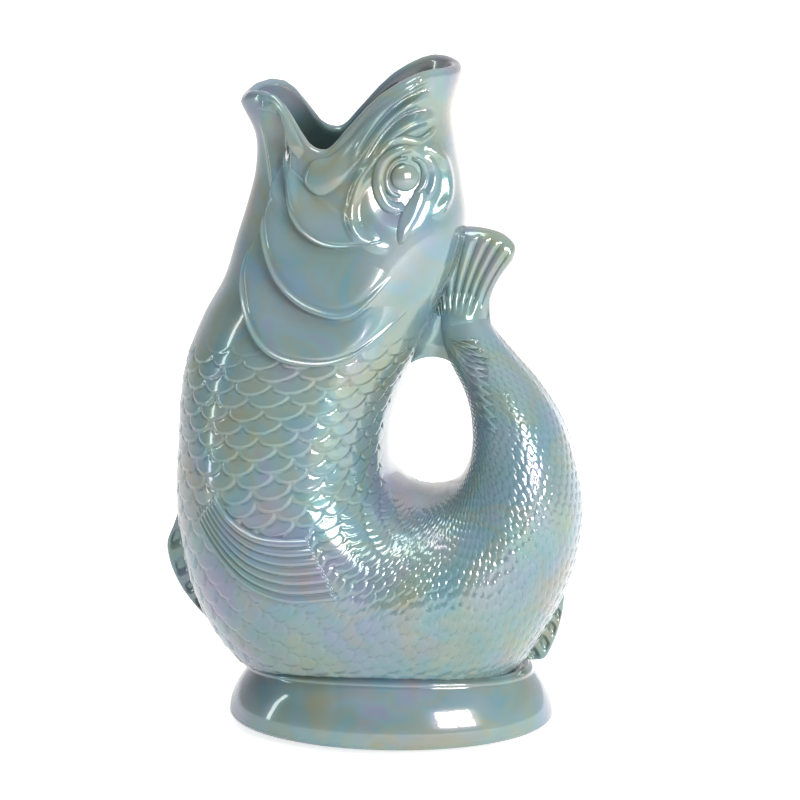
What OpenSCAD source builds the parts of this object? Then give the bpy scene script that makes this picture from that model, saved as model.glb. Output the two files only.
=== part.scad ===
// Gurgle jug: a fish that stands on its curled body and pours over its lower jaw.
// The origin is the centre of the foot's underside. +Z is up, -X is the chest side,
// +X is the handle side, and -Y is the fish's left side.

/* [Jug] */
// Height of the fish, from the table to the upper jaw
jug_h = 240; // [200:1:300]
// Width of the fish, from the chest to the back of the handle
jug_w = 150; // [130:1:190]
// Thickness of the fish at its belly, from side to side
jug_d = 94; // [80:1:120]
// Thickness of the cast wall
wall = 4.5; // [3:0.25:6]
// How far the rim of the mouth is rounded over
rim_round = 1; // [0.4:0.1:1.6]

/* [Foot] */
// Width of the foot along the fish
foot_w = 116; // [106:1:130]
// Depth of the foot across the fish
foot_d = 91; // [80:1:104]
// Height of the foot at its two ends
foot_h = 23; // [18:1:28]
// How much higher the foot reaches at its two sides
foot_saddle = 4; // [2:0.5:8]
// Width of the foot's neck along the fish
neck_w = 98; // [90:1:104]
// Depth of the foot's neck across the fish
neck_d = 72; // [62:1:78]
// Depth of the recess in the foot's underside, above its ring
foot_recess = 4; // [1:0.5:7]
// Width of the ring that the foot stands on
foot_ring_w = 9; // [5:1:14]
// Height of the ring that the foot stands on
foot_ring_h = 2; // [1:0.25:3]

/* [Handle] */
// Thickness of the web between the nape and the handle
web_t = 16; // [10:1:20]
// Thickness of the tail fin at its root
fan_t = 17; // [12:1:20]
// Height of the tail fin's arched top edge above its corners
fan_arch = 3; // [1:0.5:5]
// Thickness of the comb along the handle
comb_t = 1.6; // [1:0.1:2.5]

/* [Fins] */
// Thickness of the side fins
pectoral_t = 3; // [2:0.25:4]
// How far the keel fin under the chest stands out
ventral_h = 7.5; // [4:0.5:10]
// How far the fin at the root of the tail stands out
anal_h = 7; // [3:0.5:9]
// Thickness of the two keel fins
keel_t = 5; // [3:0.5:7]
// Height of the keel fins' lower ends above the foot
keel_lift = 2; // [1.25:0.25:5]

/* [Head] */
// Thickness of a gill plate at its free edge
plate_t = 2.4; // [1.5:0.1:3.5]
// Thickness of a gill plate where it starts
plate_start = 0.8; // [0.5:0.1:1.2]
// Thickness of the lips
lip_t = 2.2; // [1.2:0.1:3]
// Diameter of the eye
eye_d = 9.5; // [7:0.5:12]
// Height of the domed eye
eye_t = 3; // [2:0.25:4]
// Width of the ring round the eye
ring_w = 3; // [2:0.25:4]
// Height of the ring round the eye
ring_t = 2; // [1:0.25:3]
// Thickness of the brow
brow_t = 2; // [1:0.25:3]
// Width of the brow
brow_w = 2.6; // [1.5:0.1:4]

/* [Hidden] */

// Clearance between two pieces of clay that are luted together
seat_gap = 0.25;
// Clearance between the flat backs of the eye parts and the curved head
eye_gap = 0.5;
// Clearance between the brow and the ring round the eye
brow_gap = 0.6;
// Points round a section of the body
around = 36;
// Points round the foot
foot_around = 48;
// Facets round an eye
$fn = 40;
// Exponent that makes the flanks a little fuller than an ellipse
flank_share = 0.92;

glaze = [0.56, 0.67, 0.68];
glaze_deep = [0.47, 0.60, 0.62];
glaze_pale = [0.66, 0.74, 0.74];

// Sections of the body from the mouth, down the chest, round the belly and up the handle.
// Each has the X and Z of its outer point and of its inner point, as shares of the width and
// height, its half width as a share of half the thickness, and its egg shape.
section_shares = [
    [-0.358, 0.983, 0.180, 1.029, 0.46, -0.16],
    [-0.3535, 0.942, 0.162, 0.979, 0.49, -0.16],
    [-0.3175, 0.892, 0.143, 0.929, 0.52, -0.13],
    [-0.317, 0.842, 0.152, 0.875, 0.56, -0.09],
    [-0.336, 0.792, 0.167, 0.821, 0.61, -0.05],
    [-0.363, 0.738, 0.177, 0.763, 0.67, -0.02],
    [-0.392, 0.679, 0.155, 0.704, 0.73, 0],
    [-0.442, 0.621, 0.118, 0.646, 0.79, 0],
    [-0.478, 0.563, 0.082, 0.588, 0.84, 0],
    [-0.495, 0.500, 0.037, 0.533, 0.89, 0],
    [-0.500, 0.438, 0.006, 0.475, 0.94, 0],
    [-0.506, 0.367, -0.003, 0.427, 0.97, 0],
    [-0.498, 0.292, 0.005, 0.391, 0.99, 0],
    [-0.470, 0.213, 0.036, 0.368, 1.00, 0],
    [-0.413, 0.140, 0.069, 0.359, 0.99, 0],
    [-0.325, 0.083, 0.095, 0.358, 0.97, 0],
    [-0.190, 0.046, 0.115, 0.361, 0.95, 0],
    [-0.020, 0.035, 0.131, 0.365, 0.93, 0],
    [0.150, 0.046, 0.148, 0.371, 0.88, 0],
    [0.300, 0.094, 0.165, 0.382, 0.82, 0],
    [0.388, 0.173, 0.180, 0.399, 0.74, 0],
    [0.440, 0.254, 0.190, 0.419, 0.68, 0],
    [0.458, 0.333, 0.194, 0.441, 0.62, 0],
    [0.443, 0.400, 0.193, 0.467, 0.56, 0],
    [0.409, 0.463, 0.186, 0.496, 0.49, 0],
    [0.3575, 0.517, 0.170, 0.525, 0.42, 0],
    [0.3005, 0.560, 0.147, 0.552, 0.35, 0],
    [0.251, 0.598, 0.122, 0.581, 0.28, 0],
    [0.226, 0.629, 0.110, 0.613, 0.22, 0]];
// Where one casting ends and the next begins, as shares of the way along the body
neck_seam_share = 0.232;
belly_seam_share = 0.411;
tail_seam_share = 0.75;
// Where the handle's hollow ends
hollow_end_share = 0.975;
// Stretches of the body that hold the mouth's rim, the head and the chest
rim_stretch_shares = [0, 0.143];
head_stretch_shares = [0, 0.36];
chest_stretch_shares = [0.32, 0.64];

// Side view of the mouth's rim, from the lower jaw to the upper
rim_shares = [[-0.38, 0.93], [-0.36, 0.943], [-0.335, 0.956], [-0.303, 0.9635], [-0.273, 0.9625],
    [-0.247, 0.953], [-0.223, 0.937], [-0.203, 0.918], [-0.187, 0.9015], [-0.17, 0.891],
    [-0.15, 0.8865], [-0.133, 0.887], [-0.117, 0.895], [-0.097, 0.91], [-0.075, 0.9255],
    [-0.045, 0.947], [-0.01, 0.968], [0.03, 0.985], [0.067, 0.9965], [0.1, 1.0015], [0.133, 1.001],
    [0.16, 0.999], [0.175, 0.995], [0.192, 0.984], [0.21, 0.968]];

// Flank of the foot from its ring up: how far each ring spreads from the neck to the full
// foot, and its height
foot_shares = [[-0.15, 0], [0.75, 0.02], [0.98, 0.07], [1, 0.15], [0.92, 0.34], [0.68, 0.58],
    [0.36, 0.79], [0.08, 0.93], [0, 1]];
// Rings of the foot's underside and of its top, as shares of the way to its centre
inward_shares = [1, 0.66, 0.33, 0];

// Tail fin from its root to its top edge: X and Z of its free corner, the place on the nape
// that it leans on, its half thickness and its arch
fan_shares = [
    [0.228, 0.655, 0.241, 0.95, 0],
    [0.240, 0.677, 0.227, 0.85, 0],
    [0.262, 0.698, 0.212, 0.76, 0.10],
    [0.283, 0.716, 0.198, 0.66, 0.40],
    [0.287, 0.728, 0.188, 0.50, 0.80],
    [0.282, 0.736, 0.180, 0.22, 1]];
fan_ribs = 7;
fan_rib_share = 0.12;

// The web from its lower edge to its upper edge, on the nape and on the handle
web_shares = [[0.305, 0.934], [0.295, 0.954], [0.282, 0.975], [0.270, 0.998]];
// How far the web's flanks are drawn in
web_waist_share = 0.8;

// Height of the keel fins along their length
ventral_shares = [0.12, 0.45, 0.92, 1, 0.93, 0.80, 0.60, 0.38, 0.22, 0.14, 0.1];
ventral_start_share = 0.414;
ventral_rays = 8;
anal_shares = [0.12, 0.6, 1, 0.95, 0.82, 0.62, 0.38, 0.12];
anal_end_share = 0.728;
anal_rays = 4;
// Thickness of a keel fin's edge beside its root
keel_edge_share = 0.35;
// Depth of the grooves between two rays
keel_ray_share = 0.4;
// Stretch of the belly that the fins' lower ends lie on, in front of the foot and behind it
front_stretch_shares = [0.42, 0.61];
back_stretch_shares = [0.61, 0.75];

// Side views, as shares of the width and height. Each fin or plate lies between two lines.
pectoral_top_shares = [[-0.387, 0.392], [-0.345, 0.36], [-0.287, 0.34], [-0.227, 0.334], [-0.167, 0.335]];
pectoral_low_shares = [[-0.44, 0.358], [-0.387, 0.3125], [-0.307, 0.2625], [-0.207, 0.237], [-0.087, 0.24]];
pectoral_ribs = 8;
cheek_top_shares = [[-0.235, 0.880], [-0.200, 0.850], [-0.150, 0.828], [-0.100, 0.805], [-0.040, 0.790],
    [0.020, 0.790]];
cheek_edge_shares = [[-0.245, 0.890], [-0.230, 0.846], [-0.218, 0.800], [-0.180, 0.766], [-0.110, 0.750],
    [0.020, 0.760]];
preopercle_edge_shares = [[-0.275, 0.800], [-0.273, 0.745], [-0.235, 0.692], [-0.160, 0.657],
    [-0.065, 0.652], [0.040, 0.715]];
opercle_edge_shares = [[-0.298, 0.760], [-0.325, 0.683], [-0.285, 0.612], [-0.200, 0.583],
    [-0.075, 0.592], [0.085, 0.665]];
// Gap between one gill plate and the next, as a share of the band between their edges
plate_break_share = 0.04;
upper_lip_top_shares = [[-0.182, 0.852], [-0.165, 0.872], [-0.125, 0.88], [-0.085, 0.902], [-0.045, 0.932],
    [0, 0.958], [0.05, 0.977], [0.1, 0.987]];
upper_lip_low_shares = [[-0.184, 0.836], [-0.145, 0.822], [-0.102, 0.836], [-0.066, 0.862], [-0.036, 0.892],
    [0, 0.926], [0.045, 0.951], [0.102, 0.968]];
lower_lip_top_shares = [[-0.298, 0.953], [-0.268, 0.9525], [-0.243, 0.944], [-0.22, 0.927], [-0.199, 0.903],
    [-0.183, 0.885]];
lower_lip_low_shares = [[-0.305, 0.936], [-0.281, 0.935], [-0.259, 0.927], [-0.237, 0.91], [-0.217, 0.888],
    [-0.199, 0.868]];
eye_shares = [0.052, 0.850];
// Brow from its front to its back: turn about the eye as a share of a half circle, and how far
// it lifts off the eye's ring as a share of the eye's diameter
brow_shares = [[0.97, 0], [0.80, 0], [0.62, 0], [0.47, 0.05], [0.36, 0.30]];
// Comb along the handle: its two ends, and its two edges as shares of a half turn
comb_shares = [0.864, 0.971];
comb_turn_shares = [0.62, 0.51];
comb_teeth = 11;

// Smooth value between the rows of a table, through every row
function smooth(rows, place) =
    let (last = len(rows) - 1,
        row = max(0, min(last - 1, floor(place))),
        part = place - row,
        a = rows[max(0, row - 1)],
        b = rows[row],
        c = rows[row + 1],
        d = rows[min(last, row + 2)])
    b + part / 2 * (c - a + part * (2 * a - 5 * b + 4 * c - d + part * (3 * (b - c) + d - a)));

function between(a, b, share) = a + (b - a) * share;

// A section of the body in real sizes, at a share of the way from the mouth to the tail's end
function section(place) =
    let (share = smooth(section_shares, place * (len(section_shares) - 1)))
    [share[0] * jug_w, share[1] * jug_h, share[2] * jug_w, share[3] * jug_h, share[4] * jug_d / 2, share[5]];

function fuller(share) = sign(share) * pow(abs(share), flank_share);

// A point of the body's skin, at a turn from the belly line (0) to the back (180), and at a
// depth under the surface, which is negative for what stands proud
function skin(place, turn, depth = 0) =
    let (line = section(place),
        outer = [line[0], line[1]],
        inner = [line[2], line[3]],
        reach = norm(outer - inner) / 2,
        along = (outer - inner) / (2 * reach),
        middle = (outer + inner) / 2 + along * (reach - depth) * fuller(cos(turn)),
        side = (line[4] - depth) * fuller(sin(turn)) * (1 + line[5] * cos(turn)))
    [middle[0], -side, middle[1]];

// Height of the rim of the mouth over a point of the side view
function rim_z(x) = lookup(x / jug_w, rim_shares) * jug_h;

// Section at which the wall reaches the rim, found by halving
function rim_place(turn, depth, low = rim_stretch_shares[0], high = rim_stretch_shares[1], steps = 14) =
    let (place = (low + high) / 2,
        point = skin(place, turn, depth))
    steps == 0 ? place
    : point[2] > rim_z(point[0]) ? rim_place(turn, depth, place, high, steps - 1)
    : rim_place(turn, depth, low, place, steps - 1);

// Height of the saddle that the belly sits on
function seat_z(y) = foot_h + foot_saddle * pow(2 * y / neck_d, 2);

function seated(point, depth) = [point[0], point[1], max(point[2], seat_z(point[1]) + depth)];

// Section whose line passes through a point of the side view, found by halving
function place_of(point, low, high, steps = 14) =
    let (place = (low + high) / 2,
        line = section(place),
        lean = (line[2] - line[0]) * (point[1] - line[1]) - (line[3] - line[1]) * (point[0] - line[0]))
    steps == 0 ? place
    : lean > 0 ? place_of(point, low, place, steps - 1)
    : place_of(point, place, high, steps - 1);

// Place on the belly line at a height, found by halving
function place_at(z, low, high, falling, steps = 14) =
    let (place = (low + high) / 2)
    steps == 0 ? place
    : (section(place)[1] > z) == falling ? place_at(z, place, high, falling, steps - 1)
    : place_at(z, low, place, falling, steps - 1);

// Point of the left flank that a point of the side view shows
function flank(point, proud, stretch) =
    let (place = place_of(point, stretch[0], stretch[1]),
        line = section(place),
        outer = [line[0], line[1]],
        inner = [line[2], line[3]],
        reach = norm(outer - inner) / 2,
        off = (point - (outer + inner) / 2) * (outer - inner) / (2 * reach * reach),
        near = min(0.995, abs(off)))
    skin(place, acos(sign(off) * pow(near, 1 / flank_share)), -proud);

// Two triangles for each cell of a grid of points that starts at a given point
function cells(rows, columns, first, loop, turned) = [
    for (i = [0 : rows - 2], j = [0 : columns - (loop ? 1 : 2)])
        let (a = first + i * columns + j,
            b = first + i * columns + (j + 1) % columns,
            c = a + columns,
            d = b + columns)
        each turned ? [[a, b, d], [a, d, c]] : [[a, d, b], [a, c, d]]];

// Two triangles for each stretch between two rows of points
function strip(a, b, turned) = [
    for (i = [0 : len(a) - 2])
        each turned ? [[a[i], b[i + 1], b[i]], [a[i], a[i + 1], b[i + 1]]]
            : [[a[i], b[i], b[i + 1]], [a[i], b[i + 1], a[i + 1]]]];

// A point of the side view from its shares of the width and height
function side_view(share) = [share[0] * jug_w, share[1] * jug_h];

function flat(rows) = [for (row = rows) each row];

// A row of points on the left, closed into a loop round both sides
function whole(row) = concat(row, [for (i = [len(row) - 2 : -1 : 1]) [row[i][0], -row[i][1], row[i][2]]]);

// Solid wall between an outer and an inner grid of loops, with its two ends closed
module hollow(outer, inner) {
    rows = len(outer);
    columns = len(outer[0]);
    first = rows * columns;
    loop = [for (j = [0 : columns]) j % columns];
    last_out = (rows - 1) * columns;
    last_in = first + (len(inner) - 1) * columns;
    polyhedron(concat(flat(outer), flat(inner)), concat(
        cells(rows, columns, 0, true, true),
        cells(len(inner), columns, first, true, false),
        strip([for (j = loop) j], [for (j = loop) first + j], false),
        strip([for (j = loop) last_out + j], [for (j = loop) last_in + j], true)));
}

// Solid between a front grid and a back grid of the same size
module slab(front, back) {
    rows = len(front);
    columns = len(front[0]);
    first = rows * columns;
    corner = first - columns;
    polyhedron(concat(flat(front), flat(back)), concat(
        cells(rows, columns, 0, false, false),
        cells(rows, columns, first, false, true),
        strip([for (j = [0 : columns - 1]) j], [for (j = [0 : columns - 1]) first + j], true),
        strip([for (j = [0 : columns - 1]) corner + j], [for (j = [0 : columns - 1]) first + corner + j], false),
        strip([for (i = [0 : rows - 1]) i * columns], [for (i = [0 : rows - 1]) first + i * columns], false),
        strip([for (i = [0 : rows - 1]) (i + 1) * columns - 1],
            [for (i = [0 : rows - 1]) first + (i + 1) * columns - 1], true)));
}

// Solid through rows of points on the left, each mirrored to the right, with flat ends
module keel(rows) {
    loops = [for (row = rows) whole(row)];
    columns = len(loops[0]);
    half = len(rows[0]) - 1;
    last = (len(rows) - 1) * columns;
    left = [for (j = [1 : half - 1]) j];
    right = [for (j = [1 : half - 1]) columns - j];
    polyhedron(flat(loops), concat(
        cells(len(rows), columns, 0, true, false),
        strip(left, right, true),
        [[0, left[0], right[0]], [half, right[half - 2], left[half - 2]]],
        strip([for (j = left) last + j], [for (j = right) last + j], false),
        [[last, last + right[0], last + left[0]], [last + half, last + left[half - 2], last + right[half - 2]]]));
}

// Loops of the body between two sections
function body_rows(from, to, rows, depth) = [
    for (i = [0 : rows])
        whole([for (j = [0 : around / 2]) skin(between(from, to, i / rows), j * 360 / around, depth)])];

// Half sizes of the foot where it meets its ring
function stand() = [between(neck_w, foot_w, foot_shares[0][0]) / 2, between(neck_d, foot_d, foot_shares[0][0]) / 2];

module foot_ring() {
    module oval(half) {
        polygon([for (j = [0 : foot_around - 1])
            [half[0] * cos(j * 360 / foot_around), half[1] * sin(j * 360 / foot_around)]]);
    }
    color(glaze_pale)
        linear_extrude(foot_ring_h)
        difference() {
            oval(stand());
            oval(stand() - [foot_ring_w, foot_ring_w]);
        }
}

module foot() {
    function ring(half_w, half_d, z) = [
        for (j = [0 : foot_around - 1])
            let (angle = j * 360 / foot_around)
            [half_w * cos(angle), -half_d * sin(angle), z]];
    function raised(row, share) = [
        for (p = row) [p[0], p[1], between(foot_ring_h, seat_z(p[1]) - seat_gap, share)]];
    stand_w = stand()[0] - foot_ring_w;
    stand_d = stand()[1] - foot_ring_w;
    floor_z = foot_ring_h + foot_recess;
    under = [for (share = inward_shares) if (share > 0) ring(stand_w * share, stand_d * share, floor_z)];
    flank = [for (share = foot_shares)
        raised(ring(between(neck_w, foot_w, share[0]) / 2, between(neck_d, foot_d, share[0]) / 2, 0), share[1])];
    top = [for (share = inward_shares) if (share > 0 && share < 1)
        raised(ring(neck_w / 2 * share, neck_d / 2 * share, 0), 1)];
    rings = concat([for (i = [len(under) - 1 : -1 : 0]) under[i]], [ring(stand_w, stand_d, foot_ring_h)], flank, top);
    count = len(rings) * foot_around;
    color(glaze)
        polyhedron(concat(flat(rings), [[0, 0, floor_z], [0, 0, seat_z(0) - seat_gap]]), concat(
            cells(len(rings), foot_around, 0, true, true),
            [for (j = [0 : foot_around - 1]) [count, (j + 1) % foot_around, j]],
            [for (j = [0 : foot_around - 1])
                [count + 1, count - foot_around + j, count - foot_around + (j + 1) % foot_around]]));
}

module belly_shell() {
    rows = 22;
    color(glaze)
        hollow([for (row = body_rows(belly_seam_share, tail_seam_share, rows, 0)) [for (p = row) seated(p, 0)]],
            [for (row = body_rows(belly_seam_share, tail_seam_share, rows, wall)) [for (p = row) seated(p, wall)]]);
}

module chest_shell() {
    rows = 9;
    color(glaze_pale)
        hollow(body_rows(neck_seam_share, belly_seam_share, rows, 0), body_rows(neck_seam_share, belly_seam_share, rows, wall));
}

module head_shell() {
    rows = 9;
    function rise(depth, i) = whole([for (j = [0 : around / 2])
        let (turn = j * 360 / around)
        skin(between(rim_place(turn, depth), neck_seam_share, i / rows), turn, depth)]);
    // The rim is rounded by one loop that stands between its two edges
    crest = [for (p = rise(wall / 2, 0)) p + [0, 0, rim_round]];
    color(glaze_pale)
        hollow(concat([crest], [for (i = [0 : rows]) rise(0, i)]),
            [for (i = [0 : rows]) rise(wall, i)]);
}

module tail_shell() {
    rows = 16;
    color(glaze) {
        outer = body_rows(tail_seam_share, 1, rows, 0);
        inner = body_rows(tail_seam_share, hollow_end_share, rows, wall);
        columns = len(outer[0]);
        first = (rows + 1) * columns;
        last = first + (rows + 1) * columns;
        out_end = (skin(1, 0) + skin(1, 180)) / 2;
        in_end = (skin(hollow_end_share, 0, wall) + skin(hollow_end_share, 180, wall)) / 2;
        loop = [for (j = [0 : columns]) j % columns];
        polyhedron(concat(flat(outer), flat(inner), [out_end, in_end]), concat(
            cells(rows + 1, columns, 0, true, true),
            cells(rows + 1, columns, first, true, false),
            strip([for (j = loop) j], [for (j = loop) first + j], false),
            [for (j = [0 : columns - 1]) [last, rows * columns + j, rows * columns + (j + 1) % columns]],
            [for (j = [0 : columns - 1])
                [last + 1, first + rows * columns + (j + 1) % columns, first + rows * columns + j]]));
    }
}

module tail_bridge() {
    function row(places) =
        let (on_nape = asin(min(0.9, web_t / 2 / section(places[0])[4])),
            on_tail = asin(min(0.9, web_t / 2 / section(places[1])[4])),
            near = skin(places[0], 180 - on_nape, -seat_gap),
            far = skin(places[1], 180 - on_tail, -seat_gap),
            waist = (near + far) / 2)
        [skin(places[0], 180, -seat_gap), skin(places[0], 180 - on_nape / 2, -seat_gap), near,
            [waist[0], waist[1] * web_waist_share, waist[2]],
            far, skin(places[1], 180 - on_tail / 2, -seat_gap), skin(places[1], 180, -seat_gap)];
    color(glaze)
        keel([for (places = web_shares) row(places)]);
}

module tail_fin() {
    across = 4 * fan_ribs;
    root = section(1);
    // Root corners on the end of the handle, then one row for each row of the table
    function corners(i) =
        i == 0 ? [[root[2], root[3]], [root[0], root[1]], 1, 0]
        : let (share = fan_shares[i - 1],
            nape = skin(share[2], 180, -seat_gap))
        [[nape[0], nape[2]], [share[0] * jug_w, share[1] * jug_h], share[3], share[4]];
    function row(i) =
        let (ends = corners(i))
        [for (j = [0 : across])
            let (t = j / across,
                arch = ends[3] * fan_arch * sin(180 * t),
                rib = 1 - fan_rib_share * (i == 0 ? 0 : 1 - cos(360 * fan_ribs * t)),
                at = between(ends[0], ends[1], t),
                half = fan_t / 2 * ends[2] * pow(max(0, sin(180 * t)), 0.4) * rib)
            [at[0], -half, at[1] + arch]];
    color(glaze_deep)
        keel([for (i = [0 : len(fan_shares)]) row(i)]);
}

// Keel fin on the belly line, with rays
module keel_fin(places, shares, height, rays) {
    rows = 4 * rays;
    function row(i) =
        let (place = between(places[0], places[1], i / rows),
            rise = height * max(0.1, smooth(shares, i / rows * (len(shares) - 1))),
            ray = 1 - keel_ray_share / 2 * (1 - cos(360 * rays * i / rows)),
            thick = keel_t / 2 * ray,
            thin = thick * keel_edge_share,
            mid = skin(place, 0, -seat_gap - rise / 2),
            edge = skin(place, 0, -seat_gap - rise))
        [skin(place, 0, -seat_gap), skin(place, asin(thick / section(place)[4]), -seat_gap),
            mid - [0, between(thick, thin, 0.5), 0], edge - [0, thin, 0],
            skin(place, 0, -seat_gap - rise - thin / 2)];
    keel([for (i = [0 : rows]) row(i)]);
}

module ventral_fin() {
    low = place_at(foot_h + keel_lift, front_stretch_shares[0], front_stretch_shares[1], true);
    color(glaze_deep) keel_fin([ventral_start_share, low], ventral_shares, ventral_h, ventral_rays);
}

module anal_fin() {
    low = place_at(foot_h + keel_lift, back_stretch_shares[0], back_stretch_shares[1], false);
    color(glaze_deep) keel_fin([low, anal_end_share], anal_shares, anal_h, anal_rays);
}

// Patch of the flank between two lines of the side view, with a thickness at each of its points
module patch(top, low, rows, columns, thick, stretch) {
    function grid(front) = [
        for (i = [0 : rows])
            let (a = smooth(top, i / rows * (len(top) - 1)),
                b = smooth(low, i / rows * (len(low) - 1)))
            [for (j = [0 : columns])
                flank(between(a, b, j / columns), seat_gap + (front ? thick[i][j] : 0), stretch)]];
    slab(grid(true), grid(false));
}

// Patch that starts thin and ends at a free edge
module plate(top, low, thick) {
    rows = 14;
    columns = 5;
    edge = [for (share = low) side_view(share)];
    start = [for (i = [0 : len(low) - 1]) between(side_view(top[i]), edge[i], plate_break_share)];
    patch(start, edge, rows, columns,
        [for (i = [0 : rows]) [for (j = [0 : columns])
            between(plate_start, thick, pow(j / columns, 2)) * (j == columns ? 0.75 : 1)]],
        head_stretch_shares);
}

// Patch that is rounded over from edge to edge
module roll(top, low, thick, rows, columns) {
    patch(top, low, rows, columns,
        [for (i = [0 : rows]) [for (j = [0 : columns])
            thick * (0.3 + 0.7 * sin(180 * j / columns)) * (i == 0 || i == rows ? 0.4 : 1)]],
        head_stretch_shares);
}

module opercle_left() {
    color(glaze_pale) plate(preopercle_edge_shares, opercle_edge_shares, plate_t);
}

module preopercle_left() {
    color(glaze) plate(cheek_edge_shares, preopercle_edge_shares, plate_t);
}

module cheek_left() {
    color(glaze_pale) plate(cheek_top_shares, cheek_edge_shares, plate_t);
}

module upper_lip_left() {
    color(glaze_deep) roll([for (share = upper_lip_top_shares) side_view(share)],
        [for (share = upper_lip_low_shares) side_view(share)], lip_t, 16, 4);
}

module lower_lip_left() {
    color(glaze_deep) roll([for (share = lower_lip_top_shares) side_view(share)],
        [for (share = lower_lip_low_shares) side_view(share)], lip_t, 12, 4);
}

module brow_left() {
    inner = eye_d / 2 + seat_gap + ring_w + brow_gap;
    function arc(width) = [for (share = brow_shares)
        side_view(eye_shares) + (inner + width + share[1] * eye_d) * [cos(180 * share[0]), sin(180 * share[0])]];
    color(glaze_deep) roll(arc(brow_w), arc(0), brow_t, 10, 4);
}

module pectoral_fin_left() {
    rows = 10;
    columns = 3 * pectoral_ribs;
    color(glaze_deep)
        patch([for (share = pectoral_top_shares) side_view(share)],
            [for (share = pectoral_low_shares) side_view(share)], rows, columns,
            [for (i = [0 : rows]) [for (j = [0 : columns])
                pectoral_t * between(0.55, 1, sin(90 * i / rows)) * (0.75 + 0.25 * cos(120 * j))]],
            chest_stretch_shares);
}

module dorsal_comb_left() {
    rows = 3 * comb_teeth;
    columns = 2;
    function at(i, j, proud) = skin(between(comb_shares[0], comb_shares[1], i / rows),
        180 * between(comb_turn_shares[0], comb_turn_shares[1], j / columns), -seat_gap - proud);
    function tooth(i, j) = comb_t * (0.55 + 0.25 * cos(120 * i)) * (j == 1 ? 1.25 : 0.6);
    color(glaze_deep)
        slab([for (i = [0 : rows]) [for (j = [0 : columns]) at(i, j, tooth(i, j))]],
            [for (i = [0 : rows]) [for (j = [0 : columns]) at(i, j, 0)]]);
}

// Puts a shape flat on the left side of the head where the eye is
module at_eye() {
    function near(x, z) = flank(side_view(eye_shares) + [x, z] * eye_d / 4, 0, head_stretch_shares);
    here = near(0, 0);
    right = near(1, 0) - near(-1, 0);
    up = near(0, 1) - near(0, -1);
    normal = cross(right, up) / norm(cross(right, up));
    translate(here + normal * eye_gap)
        rotate([0, acos(normal[2]), atan2(normal[1], normal[0])])
        children();
}

module eye_left() {
    radius = (eye_d * eye_d / 4 + eye_t * eye_t) / (2 * eye_t);
    color(glaze_pale)
        at_eye()
        rotate_extrude()
        intersection() {
            translate([0, eye_t - radius]) circle(radius);
            square([eye_d, eye_d]);
        }
}

module eye_ring_left() {
    color(glaze_deep)
        at_eye()
        rotate_extrude()
        translate([eye_d / 2 + seat_gap + ring_w / 2, 0])
        intersection() {
            resize([ring_w, 2 * ring_t]) circle(ring_w);
            translate([-ring_w, 0]) square([2 * ring_w, ring_t]);
        }
}

// The fish's right side mirrors its left
module to_right() {
    mirror([0, 1, 0]) children();
}

module opercle_right() { to_right() opercle_left(); }
module preopercle_right() { to_right() preopercle_left(); }
module cheek_right() { to_right() cheek_left(); }
module upper_lip_right() { to_right() upper_lip_left(); }
module lower_lip_right() { to_right() lower_lip_left(); }
module brow_right() { to_right() brow_left(); }
module pectoral_fin_right() { to_right() pectoral_fin_left(); }
module dorsal_comb_right() { to_right() dorsal_comb_left(); }
module eye_right() { to_right() eye_left(); }
module eye_ring_right() { to_right() eye_ring_left(); }

foot_ring();
foot();
belly_shell();
chest_shell();
head_shell();
tail_shell();
tail_bridge();
tail_fin();
dorsal_comb_left();
dorsal_comb_right();
pectoral_fin_left();
pectoral_fin_right();
ventral_fin();
anal_fin();
opercle_left();
opercle_right();
preopercle_left();
preopercle_right();
cheek_left();
cheek_right();
upper_lip_left();
upper_lip_right();
lower_lip_left();
lower_lip_right();
eye_left();
eye_right();
eye_ring_left();
eye_ring_right();
brow_left();
brow_right();
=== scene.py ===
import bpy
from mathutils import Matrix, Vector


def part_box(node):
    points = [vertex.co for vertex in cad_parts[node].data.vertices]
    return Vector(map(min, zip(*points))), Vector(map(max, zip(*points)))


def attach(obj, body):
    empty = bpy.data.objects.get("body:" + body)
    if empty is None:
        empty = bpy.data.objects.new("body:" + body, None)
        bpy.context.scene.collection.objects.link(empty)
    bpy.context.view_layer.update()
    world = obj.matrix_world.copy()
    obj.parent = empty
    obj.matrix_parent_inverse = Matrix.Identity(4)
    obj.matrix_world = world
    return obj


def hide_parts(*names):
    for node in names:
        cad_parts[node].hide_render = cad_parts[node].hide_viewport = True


bl_info = {
    "name": "Gurgle jug",
    "version": (1, 0, 0),
    "blender": (4, 5, 0),
    "location": "View3D > Sidebar > Jug",
    "description": "A fish-shaped pouring jug of pearl-glazed earthenware",
    "category": "Object",
}

import math

import bpy
import numpy as np
from bpy.props import FloatProperty, FloatVectorProperty, IntProperty, PointerProperty, StringProperty
from mathutils import Vector

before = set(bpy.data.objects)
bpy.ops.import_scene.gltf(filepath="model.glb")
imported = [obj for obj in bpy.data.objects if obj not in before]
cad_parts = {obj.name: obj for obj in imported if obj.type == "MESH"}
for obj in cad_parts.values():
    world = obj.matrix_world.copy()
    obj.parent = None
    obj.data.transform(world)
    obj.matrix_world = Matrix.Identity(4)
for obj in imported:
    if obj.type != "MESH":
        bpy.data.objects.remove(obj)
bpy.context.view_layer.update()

MM = 0.001
BODY = "root"

# Shares of the width that the belly reaches to the chest side and to the handle side
CHEST_REACH = 0.5062
HANDLE_REACH = 0.4582


def extent(node, axis):
    """Size of a CAD node along an axis, in metres."""
    low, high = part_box(node)
    return high[axis] - low[axis]


def half_oval(node):
    """Half width and half depth of a CAD node."""
    return np.array([extent(node, 0), extent(node, 1)]) / 2


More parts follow.
